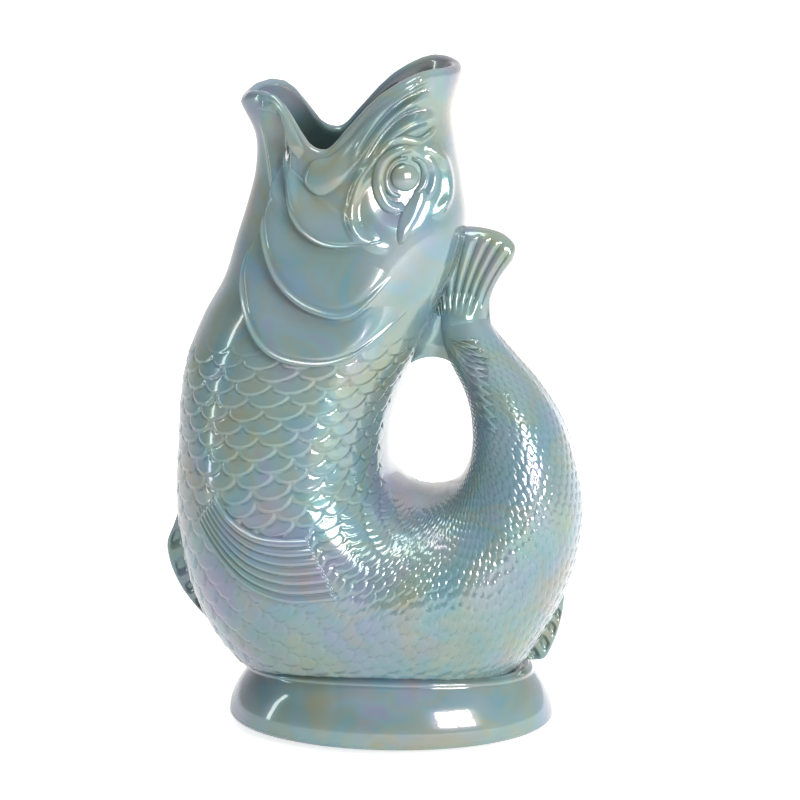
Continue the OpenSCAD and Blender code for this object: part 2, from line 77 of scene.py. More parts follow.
class JugSizes(bpy.types.PropertyGroup):
    """Sizes of the jug, which start as those of the frame"""

    width: FloatProperty(
        name="Width", description="Width of the fish that the body's outline is drawn on", unit="LENGTH",
        default=(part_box("tail_shell")[1][0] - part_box("chest_shell")[0][0]) / (CHEST_REACH + HANDLE_REACH))
    height: FloatProperty(
        name="Height", description="Height of the fish that the body's outline is drawn on", unit="LENGTH",
        default=240 * MM)
    depth: FloatProperty(
        name="Depth", description="Thickness of the fish at its belly", unit="LENGTH",
        default=extent("belly_shell", 1))
    wall: FloatProperty(
        name="Wall", description="Thickness of the cast wall", unit="LENGTH", default=4.5 * MM)
    scale_step: FloatProperty(
        name="Scale step", description="How far a scale's free edge stands out, as a share of its length",
        default=0.12)
    scale_bead: FloatProperty(
        name="Scale bead", default=0.022,
        description="Height of the bead inside a scale's free edge, as a share of its length")
    scale_groove: FloatProperty(
        name="Scale groove", description="Depth of the groove round a scale, as a share of its length",
        default=0.065)
    columns: IntProperty(
        name="Columns", description="Points round the body", default=352)


class JugColours(bpy.types.PropertyGroup):
    """Colours of the glaze and the clay"""

    glaze: StringProperty(name="Glaze", description="Main colour of the glaze", default="#768e8f")
    olive: StringProperty(name="Olive", description="Olive patches of the lustre", default="#7f8571")
    blue: StringProperty(name="Blue", description="Blue patches of the lustre", default="#6f869c")
    violet: StringProperty(name="Violet", description="Violet patches of the lustre", default="#827c94")
    teal: StringProperty(name="Teal", description="Teal patches of the lustre", default="#63878f")
    # This colour is partly glaze pooled in the grooves and partly painted shade in them
    pooled_deep_and_shade: StringProperty(name="Deep", description="Glaze that has pooled in the grooves", default="#405e64")
    clay: StringProperty(name="Clay", description="Bare clay under the foot", default="#cfc4b2")


class StageLook(bpy.types.PropertyGroup):
    """Floor, lights and camera"""

    floor: StringProperty(name="Floor", description="Colour of the floor", default="#f4f4f2")
    key_power: FloatProperty(
        name="Key", description="Power of the window on the right", unit="POWER", default=17)
    fill_power: FloatProperty(
        name="Fill", description="Power of the strip on the left", unit="POWER", default=1.0)
    top_power: FloatProperty(
        name="Overhead", description="Power of the soft light overhead", unit="POWER", default=9)
    azimuth: FloatProperty(
        name="Azimuth", description="Camera's turn round the jug", subtype="ANGLE", default=math.radians(6))
    elevation: FloatProperty(
        name="Elevation", description="Camera's height over the jug", subtype="ANGLE",
        default=math.radians(14))
    distance: FloatProperty(
        name="Distance", description="Camera's distance from the jug", unit="LENGTH", default=1.8)
    focal_length: FloatProperty(
        name="Focal length", description="Focal length of the camera in millimetres", default=228.8)
    aim: FloatVectorProperty(
        name="Aim", description="Point that the camera looks at", unit="LENGTH", default=(0.0032, 0, 0.1187))


def sizes():
    return bpy.context.scene.jug_sizes


def colours():
    return bpy.context.scene.jug_colours


# Sections of the body from the mouth, down the chest, round the belly and up the handle. Each has
# the X and Z of its outer point and of its inner point, its half width and its egg shape.
SECTION_SHARES = np.array([
    [-0.358, 0.983, 0.18, 1.029, 0.46, -0.16],
    [-0.3535, 0.942, 0.162, 0.979, 0.49, -0.16],
    [-0.3175, 0.892, 0.143, 0.929, 0.52, -0.13],
    [-0.317, 0.842, 0.152, 0.875, 0.56, -0.09],
    [-0.336, 0.792, 0.167, 0.821, 0.61, -0.05],
    [-0.363, 0.738, 0.177, 0.763, 0.67, -0.02],
    [-0.392, 0.679, 0.155, 0.704, 0.73, 0],
    [-0.442, 0.621, 0.118, 0.646, 0.79, 0],
    [-0.478, 0.563, 0.082, 0.588, 0.84, 0],
    [-0.495, 0.5, 0.037, 0.533, 0.89, 0],
    [-0.5, 0.438, 0.006, 0.475, 0.94, 0],
    [-0.506, 0.367, -0.003, 0.427, 0.97, 0],
    [-0.498, 0.292, 0.005, 0.391, 0.99, 0],
    [-0.47, 0.213, 0.036, 0.368, 1.0, 0],
    [-0.413, 0.14, 0.069, 0.359, 0.99, 0],
    [-0.325, 0.083, 0.095, 0.358, 0.97, 0],
    [-0.19, 0.046, 0.115, 0.361, 0.95, 0],
    [-0.02, 0.035, 0.131, 0.365, 0.93, 0],
    [0.15, 0.046, 0.148, 0.371, 0.88, 0],
    [0.3, 0.094, 0.165, 0.382, 0.82, 0],
    [0.388, 0.173, 0.18, 0.399, 0.74, 0],
    [0.44, 0.254, 0.19, 0.419, 0.68, 0],
    [0.458, 0.333, 0.194, 0.441, 0.62, 0],
    [0.443, 0.4, 0.193, 0.467, 0.56, 0],
    [0.409, 0.463, 0.186, 0.496, 0.49, 0],
    [0.3575, 0.517, 0.17, 0.525, 0.42, 0],
    [0.3005, 0.56, 0.147, 0.552, 0.35, 0],
    [0.251, 0.598, 0.122, 0.581, 0.28, 0],
    [0.226, 0.629, 0.11, 0.613, 0.22, 0]])
# Power of the sections' rounding, which is below 1 for fuller flanks
FLANK_SHARE = 0.92
# Rows of points down the head's outer and inner skin and over its rim
HEAD_ROWS, HEAD_INNER_ROWS, RIM_ROWS = 210, 40, 9
# Where the shells meet and where the handle's hollow ends, as shares of the way along the body
NECK_SEAM = 0.232
BELLY_SEAM = 0.411
TAIL_SEAM = 0.75
HOLLOW_END = 0.975

# Side view of the mouth's rim, from the lower jaw to the upper
RIM_SHARES = np.array([
    [-0.38, 0.93], [-0.36, 0.943], [-0.335, 0.956], [-0.303, 0.9635], [-0.273, 0.9625],
    [-0.247, 0.953], [-0.223, 0.937], [-0.203, 0.918], [-0.187, 0.9015], [-0.17, 0.891],
    [-0.15, 0.8865], [-0.133, 0.887], [-0.117, 0.895], [-0.097, 0.91], [-0.075, 0.9255],
    [-0.045, 0.947], [-0.01, 0.968], [0.03, 0.985], [0.067, 0.9965], [0.1, 1.0015], [0.133, 1.001],
    [0.16, 0.999], [0.175, 0.995], [0.192, 0.984], [0.21, 0.968]])
# Share of the way along the body that the rim dips to at most
RIM_REACH = 0.143


def smooth(rows, place):
    """Smooth value between the rows of a table, through every row."""
    rows = np.asarray(rows, float)
    last = len(rows) - 1
    place = np.asarray(place, float)
    row = np.clip(np.floor(place), 0, last - 1).astype(int)
    part = (place - row)[..., None]
    a, b, c, d = (rows[np.clip(row + step, 0, last)] for step in (-1, 0, 1, 2))
    return b + part / 2 * (c - a + part * (2 * a - 5 * b + 4 * c - d + part * (3 * (b - c) + d - a)))


def along(rows, share):
    """Smooth value of a table at a share of the way along it."""
    return smooth(rows, np.asarray(share, float) * (len(rows) - 1))


def ease(value, low=0.0, high=1.0):
    """Rises smoothly from 0 at low to 1 at high."""
    part = np.clip((value - low) / (high - low), 0, 1)
    return part * part * (3 - 2 * part)


def taper(share, start, end):
    """Rises from 0 over the first part of the way and falls back to 0 over the last."""
    return ease(share, 0, start) * ease(1 - share, 0, end)


def hump(value, centre, width):
    """Bell curve that is 1 at its centre."""
    return np.exp(-((value - centre) / width) ** 2)


def arc(value, power=2):
    """Quarter round that falls from 1 at 0 to 0 at 1."""
    return np.sqrt(np.clip(1 - np.clip(value, 0, 1) ** power, 0, 1))


def dome(share):
    """Half round over the whole way."""
    return arc(np.abs(2 * share - 1))


def section(place):
    """Outer point, inner point, half width and egg shape of the body at a share of the way along it."""
    share = along(SECTION_SHARES, place)
    flat = np.array([sizes().width, sizes().height])
    return share[..., 0:2] * flat, share[..., 2:4] * flat, share[..., 4] * sizes().depth / 2, share[..., 5]


def fuller(value):
    return np.sign(value) * np.abs(value) ** FLANK_SHARE


def skin(place, turn, depth=0.0):
    """Point of the skin at a turn from the belly line (0) to the back (pi), and at a depth under it."""
    outer, inner, half, egg = section(place)
    reach = np.linalg.norm(outer - inner, axis=-1) / 2
    to_outer = (outer - inner) / (2 * reach[..., None])
    centre = (outer + inner) / 2 + to_outer * ((reach - depth) * fuller(np.cos(turn)))[..., None]
    side = (half - depth) * fuller(np.sin(turn)) * (1 + egg * np.cos(turn))
    return np.stack([centre[..., 0], -side, centre[..., 1]], axis=-1)


def outward(place, turn):
    """Unit vector that points out of the skin."""
    step = 0.002
    on_place = skin(np.minimum(place + step, 1), turn) - skin(np.maximum(place - step, 0), turn)
    on_turn = skin(place, turn + step) - skin(place, turn - step)
    normal = np.cross(on_turn, on_place)
    normal /= np.maximum(np.linalg.norm(normal, axis=-1, keepdims=True), 1e-12)
    outer, inner, _, _ = section(place)
    heart = (outer + inner) / 2
    away = skin(place, turn) - np.stack([heart[..., 0], 0 * heart[..., 0], heart[..., 1]], axis=-1)
    return normal * np.sign((normal * away).sum(-1, keepdims=True))


def halving(too_far, low, high, shape, steps=22):
    """Place at which a test first holds, for an array of that shape."""
    low, high = np.full(shape, low, float), np.full(shape, high, float)
    for _ in range(steps):
        place = (low + high) / 2
        far = too_far(place)
        high = np.where(far, place, high)
        low = np.where(far, low, place)
    return (low + high) / 2


def rim_place(turn, depth, lowered):
    """Place at which the wall reaches the rim of the mouth, lowered a little."""
    rim = RIM_SHARES * [sizes().width, sizes().height]

    def under(place):
        point = skin(place, turn, depth)
        return point[..., 2] < np.interp(point[..., 0], rim[:, 0], rim[:, 1]) - lowered

    return halving(under, 0, RIM_REACH, turn.shape)


def flank_place(point, low, high):
    """Place and turn of the left flank's skin that a point of the side view shows."""

    def beyond(place):
        outer, inner, _, _ = section(place)
        line, to_point = inner - outer, point - outer
        return line[..., 0] * to_point[..., 1] - line[..., 1] * to_point[..., 0] > 0

    place = halving(beyond, low, high, point.shape[:-1])
    outer, inner, _, _ = section(place)
    reach = np.linalg.norm(outer - inner, axis=-1) / 2
    off = ((point - (outer + inner) / 2) * (outer - inner)).sum(-1) / (2 * reach ** 2)
    near = np.minimum(np.abs(off), 0.999)
    return place, np.arccos(np.sign(off) * near ** (1 / FLANK_SHARE))


def view_shares(rows):
    """Points of the side view from their shares of the width and height."""
    return np.asarray(rows, float) * [sizes().width, sizes().height]


# Meshes

def grid_faces(rows, columns, first=0, loop=False, turned=False):
    """Quads between the points of a grid."""
    i, j = np.meshgrid(np.arange(rows - 1), np.arange(columns if loop else columns - 1), indexing="ij")
    a = first + i * columns + j
    b = first + i * columns + (j + 1) % columns
    quads = np.stack([a, b, b + columns, a + columns], axis=-1).reshape(-1, 4)
    return quads[:, ::-1] if turned else quads


def strip_faces(a, b, turned=False):
    """Quads between two rows of point numbers."""
    quads = np.stack([a[:-1], a[1:], b[1:], b[:-1]], axis=-1)
    return quads[:, ::-1] if turned else quads


def whole(grid):
    """Rows of points on the left, closed into loops round both sides."""
    right = grid[:, -2:0:-1] * [1, -1, 1]
    return np.concatenate([grid, right], axis=1)


def mirrored(values):
    """Values of points on the left, repeated for their mirror images as whole() does."""
    return np.concatenate([values, values[:, -2:0:-1]], axis=1)


def fan_faces(row, tip, turned=False):
    """Triangles between a row of point numbers and one point."""
    a, b = (row[1:], row[:-1]) if turned else (row[:-1], row[1:])
    return np.stack([np.full(len(a), tip), a, b], axis=-1)


def points_of(mesh):
    points = np.zeros(len(mesh.vertices) * 3)
    mesh.vertices.foreach_get("co", points)
    return points.reshape(-1, 3)


def signed_volume(mesh):
    """Volume that a mesh's faces enclose, which is negative where they point inwards."""
    mesh.calc_loop_triangles()
    corners = np.zeros(len(mesh.loop_triangles) * 3, int)
    mesh.loop_triangles.foreach_get("vertices", corners)
    a, b, c = points_of(mesh)[corners.reshape(-1, 3)].transpose(1, 0, 2)
    return float((a * np.cross(b, c)).sum() / 6)


def mesh_of(name, points, groups, sharp=()):
    """A smooth mesh of groups of faces that point outwards, with the given rows of points left sharp."""
    mesh = bpy.data.meshes.new(name)
    faces = [list(map(int, face)) for group in groups for face in group]
    mesh.from_pydata(np.asarray(points).reshape(-1, 3).tolist(), [], faces)
    mesh.validate()
    mesh.update()
    mesh.polygons.foreach_set("use_smooth", np.ones(len(mesh.polygons), bool))
    if len(sharp):
        on_seam = np.full(len(mesh.vertices), -1)
        for number, row in enumerate(sharp):
            on_seam[row] = number
        ends = np.zeros(len(mesh.edges) * 2, int)
        mesh.edges.foreach_get("vertices", ends)
        ends = on_seam[ends.reshape(-1, 2)]
        flags = (ends[:, 0] >= 0) & (ends[:, 0] == ends[:, 1])
        mesh.attributes.new("sharp_edge", "BOOLEAN", "EDGE").data.foreach_set("value", flags)
    if signed_volume(mesh) < 0:
        mesh.flip_normals()
    return mesh


def show(name, data):
    """A new object in the scene."""
    thing = bpy.data.objects.new(name, data)
    bpy.context.scene.collection.objects.link(thing)
    return thing


def place_piece(name, mesh, node, materials=None):
    """Puts a piece in the place of its CAD node. It is glazed unless it has other materials."""
    piece = show(name, mesh)
    for material in [pearl_glaze()] if materials is None else materials:
        mesh.materials.append(material)
    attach(piece, BODY)
    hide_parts(node)
    return piece


def place_pair(name, mesh, node):
    """Puts a piece on the fish's left side and its mirror image on the right."""
    place_piece(f"{name}_left", mesh, f"{node}_left")
    place_piece(f"{name}_right", other_side(mesh, f"{name}_right"), f"{node}_right", ())


def other_side(mesh, name):
    """Mirror image of a mesh on the fish's right side, with its faces still pointing outwards."""
    copy = mesh.copy()
    copy.name = name
    copy.vertices.foreach_set("co", (points_of(copy) * [1, -1, 1]).ravel())
    copy.flip_normals()
    copy.update()
    return copy


def hollow_mesh(outer, inner, closed=False):
    """Points, faces and edges of the wall between an outer and an inner grid of loops.

    It is open at its start. Its end is open too, or closed by a point in each grid.
    """
    columns = outer.shape[1]
    first = outer.shape[0] * columns
    end = first + inner.shape[0] * columns
    last_out, last_in = first - columns, end - columns
    loop = np.arange(columns + 1) % columns
    points = [outer.reshape(-1, 3), inner.reshape(-1, 3)]
    groups = [
        grid_faces(outer.shape[0], columns, 0, True),
        grid_faces(inner.shape[0], columns, first, True, True),
        strip_faces(loop, first + loop, True)]
    edges = [0, first, last_out]
    if closed:
        points.append([outer[-1].mean(0), inner[-1].mean(0)])
        groups += [fan_faces(last_out + loop, end), fan_faces(last_in + loop, end + 1, True)]
    else:
        groups.append(strip_faces(last_out + loop, last_in + loop))
        edges.append(last_in)
    return np.concatenate(points), groups, [edge + loop[:-1] for edge in edges]


def slab_mesh(name, front, back):
    """Closed solid between a front grid and a back grid of the same size."""
    rows, columns = front.shape[:2]
    first = rows * columns
    j, i = np.arange(columns), np.arange(rows) * columns
    corner = first - columns
    return mesh_of(name, np.concatenate([front.reshape(-1, 3), back.reshape(-1, 3)]), [
        grid_faces(rows, columns),
        grid_faces(rows, columns, first, turned=True),
        strip_faces(j, first + j, True),
        strip_faces(corner + j, first + corner + j),
        strip_faces(i, first + i),
        strip_faces(i + columns - 1, first + i + columns - 1, True)])


def keel_mesh(name, rows):
    """Closed solid through rows of points on the left, each mirrored to the right."""
    loops = whole(rows)
    count, columns = loops.shape[:2]
    left = np.arange(rows.shape[1])
    right = (columns - left) % columns
    groups = [grid_faces(count, columns, 0, True)]
    for first, turned in ((0, True), ((count - 1) * columns, False)):
        strip = strip_faces(first + left, first + right, turned)
        groups.append([tuple(dict.fromkeys(map(int, face))) for face in strip])
    return mesh_of(name, loops, groups)


# The eye's centre in the side view, as shares of the width and height
EYE_SHARES = (0.052, 0.85)
# Folds of the head, as lines of the side view in millimetres from the eye's centre. Each has its
# half width and its height, which is negative for a groove.
HEAD_FOLDS = [
    # Edge of the eye socket in front of the eye and behind it
    ([(-8.0, 11.0), (-12.0, 6.0), (-16.0, -1.0), (-18.3, -9.0), (-17.5, -16.3), (-13.8, -22.0)], 1.7, 1.7),
    ([(6.3, 11.0), (11.2, 5.0), (13.4, -2.0), (13.0, -9.0), (9.6, -15.5)], 1.6, 1.6),
    # Wrinkles of the forehead
    ([(10.0, 20.0), (1.5, 18.3), (-5.5, 14.2), (-11.0, 7.8), (-15.5, -1.0)], 1.7, 2.0),
    ([(8.0, 28.0), (-2.0, 23.8), (-8.0, 18.0), (-13.5, 9.0), (-16.5, 1.0)], 1.7, 1.9),
    ([(9.0, 35.5), (0.9, 31.0), (-4.7, 26.8), (-11.2, 19.4), (-16.2, 10.7), (-19.0, 1.0)], 1.9, 1.9),
    # Grooves between them
    ([(9.0, 23.5), (0.0, 21.2), (-6.5, 16.2), (-12.0, 8.6), (-15.5, 1.0)], 1.0, -1.1),
    ([(9.0, 31.0), (-1.0, 27.0), (-8.0, 20.8), (-14.5, 11.5), (-17.8, 3.0)], 1.0, -1.1),
    # Second lid behind the eye
    ([(6.5, 7.0), (8.9, 2.0), (9.0, -3.5), (6.6, -9.0)], 0.9, 0.8),
    # Leaf-shaped hollow down the side of the lower jaw, and the folds on either side of it
    ([(-50.3, 27.0), (-47.2, 21.5), (-45.2, 14.5), (-44.7, 7.3), (-43.8, 0.0), (-42.0, -8.0), (-39.0, -16.0)],
     (1.0, 2.2, 3.3, 3.0, 2.2, 1.5, 0.9), -2.0),
    ([(-52.5, 20.0), (-50.0, 12.0), (-48.2, 3.0), (-46.2, -6.0), (-43.0, -15.0)], 1.3, 0.7),
    ([(-45.5, 25.0), (-41.5, 17.0), (-40.0, 9.0), (-39.8, 1.0), (-38.5, -7.0), (-36.5, -13.0)], 1.2, 0.8),
    # Fold from the mouth's corner down the cheek
    ([(-21.0, -7.0), (-19.5, -14.0), (-14.0, -21.0), (-5.0, -24.5)], 1.5, 0.6)]
# The bowl of the eye socket, and how finely and how strongly the folds are drawn
SOCKET_DEPTH = 1.5 * MM
SOCKET_HALF = (13.5 * MM, 15.0 * MM)
SOCKET_SHIFT = (-2.0 * MM, -4.0 * MM)
FOLD_POINTS = 90
FOLD_STRENGTH = 1.3


def eye_point():
    return view_shares([EYE_SHARES])[0]


def relief(point):
    """Height of the head's folds over the plain skin, at points of the side view."""
    rise = np.zeros(point.shape[:-1])
    off = point - eye_point()
    shares = np.linspace(0, 1, FOLD_POINTS)
    for line, half, height in HEAD_FOLDS:
        path = along(np.array(line) * MM, shares)
        widths = np.interp(shares, np.linspace(0, 1, np.size(half)), np.ravel(half)) * MM
        reach = 3 * widths.max()
        near = np.all((off > path.min(0) - reach) & (off < path.max(0) + reach), axis=-1)
        if not near.any():
            continue
        gaps = np.linalg.norm(off[near][:, None] - path[None], axis=-1)
        nearest = gaps.argmin(1)
        share = nearest / (FOLD_POINTS - 1)
        rise[near] += (FOLD_STRENGTH * height * MM * taper(share, 0.25, 0.25)
                       * hump(gaps.min(1), 0, widths[nearest]))
    bowl = np.linalg.norm((off - SOCKET_SHIFT) / SOCKET_HALF, axis=-1)
    return rise - SOCKET_DEPTH * ease(1 - bowl, 0, 0.6)


def head_rise(place, turn, point=None):
    """Height of the folds on the skin, which fade out before the two sides meet."""
    point = skin(place, turn)[..., [0, 2]] if point is None else point
    return relief(point) * ease(np.sin(turn), 0.12, 0.5)


# The glaze

def linear(hex_colour):
    """Linear colour of an sRGB hex value."""
    parts = [int(hex_colour[k:k + 2], 16) / 255 for k in (1, 3, 5)]
    return tuple(c / 12.92 if c <= 0.04045 else ((c + 0.055) / 1.055) ** 2.4 for c in parts) + (1.0,)


def add(tree, kind, inputs=(), **settings):
    """Adds a node with its settings, and links or sets its inputs by name or number."""
    node = tree.nodes.new(kind)
    for name, value in settings.items():
        setattr(node, name, value)
    for name, value in dict(inputs).items():
        if isinstance(value, bpy.types.NodeSocket):
            tree.links.new(value, node.inputs[name])
        else:
            node.inputs[name].default_value = value
    return node


def out(tree, kind, inputs=(), output=0, **settings):
    """Output of an added node."""
    return add(tree, kind, inputs, **settings).outputs[output]


def maths(tree, operation, a, b=0.0, c=0.0):
    return out(tree, "ShaderNodeMath", {0: a, 1: b, 2: c}, operation=operation)


def remap(tree, value, low, high, to_low=0.0, to_high=1.0, kind="LINEAR"):
    """Takes low to to_low and high to to_high, and stops at both."""
    ends = {"Value": value, "From Min": low, "From Max": high, "To Min": to_low, "To Max": to_high}
    return out(tree, "ShaderNodeMapRange", ends, interpolation_type=kind)


def new_material(name):
    material = bpy.data.materials.new(name)
    material.use_nodes = True
    material.node_tree.nodes.clear()
    return material, material.node_tree


# Sizes of the lustre's patches and of the glaze's fine ripple, as waves per metre
PATCH_SCALE = 1 / (62 * MM)
CLOUD_SCALE = 1 / (25 * MM)
FILM_SCALE = 1 / (24 * MM)
RIPPLE_SCALE = 1 / (7 * MM)
# Thickness of the lustre's film in nanometres
FILM = (420.0, 520.0)
# Pointiness of a groove that is full of glaze and of plain skin
# Between them the colour darkens, partly as pooled glaze and partly as painted shade
POOL_AND_SHADE_POINTINESS = (0.44, 0.498)


def pearl_glaze():
    """Lead-free pearl lustre glaze over cast earthenware.

    It is a glassy coat over a clouded, faintly metallic film.
    """
    if "glazed_earthenware" in bpy.data.materials:
        return bpy.data.materials["glazed_earthenware"]
    material, tree = new_material("glazed_earthenware")
    look = colours()
    where = out(tree, "ShaderNodeTexCoord", output="Object")

    def blend(factor, a, b):
        return out(tree, "ShaderNodeMix", {0: factor, 6: a, 7: b}, 2, data_type="RGBA")

    def noise(scale, detail, shift):
        """Noise from 0 to 1, whose patches differ with the shift."""
        moved = out(tree, "ShaderNodeVectorMath", {0: where, 1: (shift, shift, shift)}, operation="ADD")
        raw = out(tree, "ShaderNodeTexNoise", {
            "Vector": moved, "Scale": scale, "Detail": detail, "Roughness": 0.55, "Distortion": 0.8})
        return remap(tree, raw, 0.33, 0.67)

    def ramp(value, stops):
        node = add(tree, "ShaderNodeValToRGB", {"Fac": value})
        while len(node.color_ramp.elements) < len(stops):
            node.color_ramp.elements.new(0.5)
        for stop, (position, colour) in zip(node.color_ramp.elements, stops):
            stop.position = position
            stop.color = linear(colour)
        return node.outputs["Color"]

    broad = ramp(noise(PATCH_SCALE, 2.0, 0.0), [
        (0.0, look.violet), (0.22, look.blue), (0.42, look.teal), (0.6, look.glaze), (0.82, look.olive),
        (1.0, look.glaze)])
    small = ramp(noise(CLOUD_SCALE, 1.5, 0.31), [
        (0.0, look.violet), (0.25, look.glaze), (0.5, look.olive), (0.7, look.teal), (1.0, look.blue)])
    # Glaze pools in the grooves, where it is deeper in colour; the darkening there is also painted shade
    pooled_with_painted_shade = remap(tree, out(tree, "ShaderNodeNewGeometry", output="Pointiness"), *POOL_AND_SHADE_POINTINESS, 0.9, 0.0)
    ripple = out(tree, "ShaderNodeTexNoise", {"Vector": where, "Scale": RIPPLE_SCALE, "Detail": 2.0})
    bump = out(tree, "ShaderNodeBump", {"Height": ripple, "Strength": 0.25, "Distance": 0.12 * MM})
    shader = out(tree, "ShaderNodeBsdfPrincipled", {
        "Base Color": blend(pooled_with_painted_shade, blend(0.45, broad, small), linear(look.pooled_deep_and_shade)),
        "Metallic": 0.1, "Roughness": 0.2, "IOR": 1.52, "Specular IOR Level": 0.36,
        "Coat Weight": 1.0, "Coat Roughness": 0.025, "Coat IOR": 1.65,
        "Thin Film Thickness": remap(tree, noise(FILM_SCALE, 1.0, 0.57), 0.0, 1.0, *FILM),
        "Thin Film IOR": 1.52, "Normal": bump, "Coat Normal": bump})
    add(tree, "ShaderNodeOutputMaterial", {"Surface": shader})
    return material


# Size of the bare clay's grain, as waves per metre
GRIT_SCALE = 1 / (0.8 * MM)


def bare_clay():
    """Wiped earthenware: matt and slightly gritty, where the glaze was cleaned off before firing."""
    if "wiped_earthenware" in bpy.data.materials:
        return bpy.data.materials["wiped_earthenware"]
    material, tree = new_material("wiped_earthenware")
    where = out(tree, "ShaderNodeTexCoord", output="Object")
    grit = out(tree, "ShaderNodeTexNoise", {"Vector": where, "Scale": GRIT_SCALE, "Detail": 3.0})
    colour = out(tree, "ShaderNodeVectorMath", {
        0: linear(colours().clay)[:3], "Scale": remap(tree, grit, 0.3, 0.7, 0.9, 1.1)}, operation="SCALE")
    bump = out(tree, "ShaderNodeBump", {"Height": grit, "Strength": 0.4, "Distance": 0.1 * MM})
    shader = out(tree, "ShaderNodeBsdfPrincipled", {
        "Base Color": colour, "Roughness": 0.85, "IOR": 1.5, "Normal": bump})
    add(tree, "ShaderNodeOutputMaterial", {"Surface": shader})
    return material


# The scales along the body: the share of its length, and a scale's length and width in millimetres
SCALE_SIZES = [(0.27, 4.6, 12.5), (0.36, 4.7, 13), (0.44, 4.6, 12), (0.5, 4.2, 9), (0.56, 3.7, 6.2),
               (0.64, 3.2, 4.6), (0.75, 2.8, 3.8), (0.86, 2.4, 3.2), (1.0, 2.0, 2.7)]
SCALES_START = (0.262, 0.285)
SCALES_END = (0.955, 0.985)
# The band round the finger hole and the belly line stay plain, as shares of a half turn
PLAIN_BACK = (0.86, 0.93)
PLAIN_BELLY = (0.015, 0.06)
# How soft a scale's free edge is, as a share of its length
SCALE_SOFTNESS = 0.075
# Places along the body at which the scales are measured out
SCALE_PLACES = 600


def scale_rows():
    """Row number and scale length at places along the body, and the number of scales in each row."""
    place = np.linspace(0, 1, SCALE_PLACES)
    table = np.array(SCALE_SIZES)
    length, width = (np.interp(place, table[:, 0], table[:, k]) * MM for k in (1, 2))
    outer, inner, half, _ = section(place)
    heart = (outer + inner) / 2
    step = np.linalg.norm(np.diff(heart, axis=0), axis=1)
    row = np.concatenate([[0], np.cumsum(step / ((length[1:] + length[:-1]) / 2))])
    reach = np.linalg.norm(outer - inner, axis=1) / 2
    around = math.pi * np.sqrt((reach ** 2 + half ** 2) / 2)
    number = np.arange(int(row[-1]) + 3)
    count = np.round(np.interp(number, row, around / width))
    return place, row, length, count


def scale_values(place, turn):
    """What the scale tree needs at each point of the skin."""
    places, rows, lengths, count = scale_rows()
    row = np.interp(place, places, rows)
    share = turn / math.pi
    plain = (1 - ease(share, *PLAIN_BACK)) * ease(share, *PLAIN_BELLY)
    number = np.floor(row).astype(int)
    return {
        "row": row,
        "around": 0.75 * share + 0.25 * share ** 2,
        "count": count[number],
        "next_count": count[number + 1],
        "length": np.interp(place, places, lengths),
        "cover": ease(place, *SCALES_START) * (1 - ease(place, *SCALES_END)) * plain,
        "outward": outward(place, turn),
    }


def scale_tree(material):
    """Geometry nodes that raise overlapping scales on a mesh, from the values at its points."""
    tree = bpy.data.node_groups.new("fish_scales", "GeometryNodeTree")
    tree.interface.new_socket("Geometry", in_out="INPUT", socket_type="NodeSocketGeometry")
    for name in ("Step", "Bead", "Groove", "Softness"):
        tree.interface.new_socket(name, in_out="INPUT", socket_type="NodeSocketFloat")
    tree.interface.new_socket("Geometry", in_out="OUTPUT", socket_type="NodeSocketGeometry")
    given = add(tree, "NodeGroupInput").outputs
    soft = given["Softness"]

    def value(name, kind="FLOAT"):
        return out(tree, "GeometryNodeInputNamedAttribute", {"Name": name}, "Attribute", data_type=kind)

    def do(operation, *terms):
        return maths(tree, operation, *terms)

    def across(number, count):
        """How far the point is from the middle of the scale that holds it, from 0 to 1."""
        stagger = do("MULTIPLY", do("FLOORED_MODULO", number, 2.0), 0.5)
        column = do("MULTIPLY_ADD", value("around"), count, stagger)
        return do("ABSOLUTE", do("MULTIPLY_ADD", do("FRACT", column), 2.0, -1.0))

    number, way = do("FLOOR", value("row")), do("FRACT", value("row"))
    off = across(number, value("count"))
    next_off = across(do("ADD", number, 1.0), value("next_count"))
    # The scale of this row covers the point inside a round edge, and the next row shows beyond it
    edge = do("SQRT", do("ADD", do("POWER", off, 2.4), do("MULTIPLY", way, way)))
    inside = do("SUBTRACT", 1.0, edge)
    here = remap(tree, inside, do("MULTIPLY", soft, -1.0), soft, kind="SMOOTHSTEP")
    top = do("MULTIPLY_ADD", here, 0.5, do("MULTIPLY", way, 0.5))
    # Each scale is slightly domed across
    fall = do("ADD", do("MULTIPLY", do("POWER", off, 2.0), here),
              do("MULTIPLY", do("POWER", next_off, 2.0), do("SUBTRACT", 1.0, here)))
    raised = do("MULTIPLY", do("MULTIPLY_ADD", fall, -0.2, top), given["Step"])

    def line(centre):
        """A ridge that follows the free edge at a distance inside it, in softnesses."""
        gap = do("SUBTRACT", do("DIVIDE", inside, soft), centre)
        return do("EXPONENT", do("MULTIPLY", do("MULTIPLY", gap, gap), -0.5))

    beaded = do("MULTIPLY_ADD", line(1.2), given["Bead"], raised)
    height = do("SUBTRACT", beaded, do("MULTIPLY", line(-0.8), given["Groove"]))
    reach = do("MULTIPLY", do("MULTIPLY", height, value("length")), value("cover"))
    offset = out(tree, "ShaderNodeVectorMath", {
        0: value("outward", "FLOAT_VECTOR"), "Scale": reach}, operation="SCALE")
    moved = out(tree, "GeometryNodeSetPosition", {"Geometry": given["Geometry"], "Offset": offset})
    real = out(tree, "GeometryNodeRealizeInstances", {"Geometry": moved})
    painted = out(tree, "GeometryNodeSetMaterial", {"Geometry": real, "Material": material})
    add(tree, "NodeGroupOutput", {"Geometry": painted})
    return tree


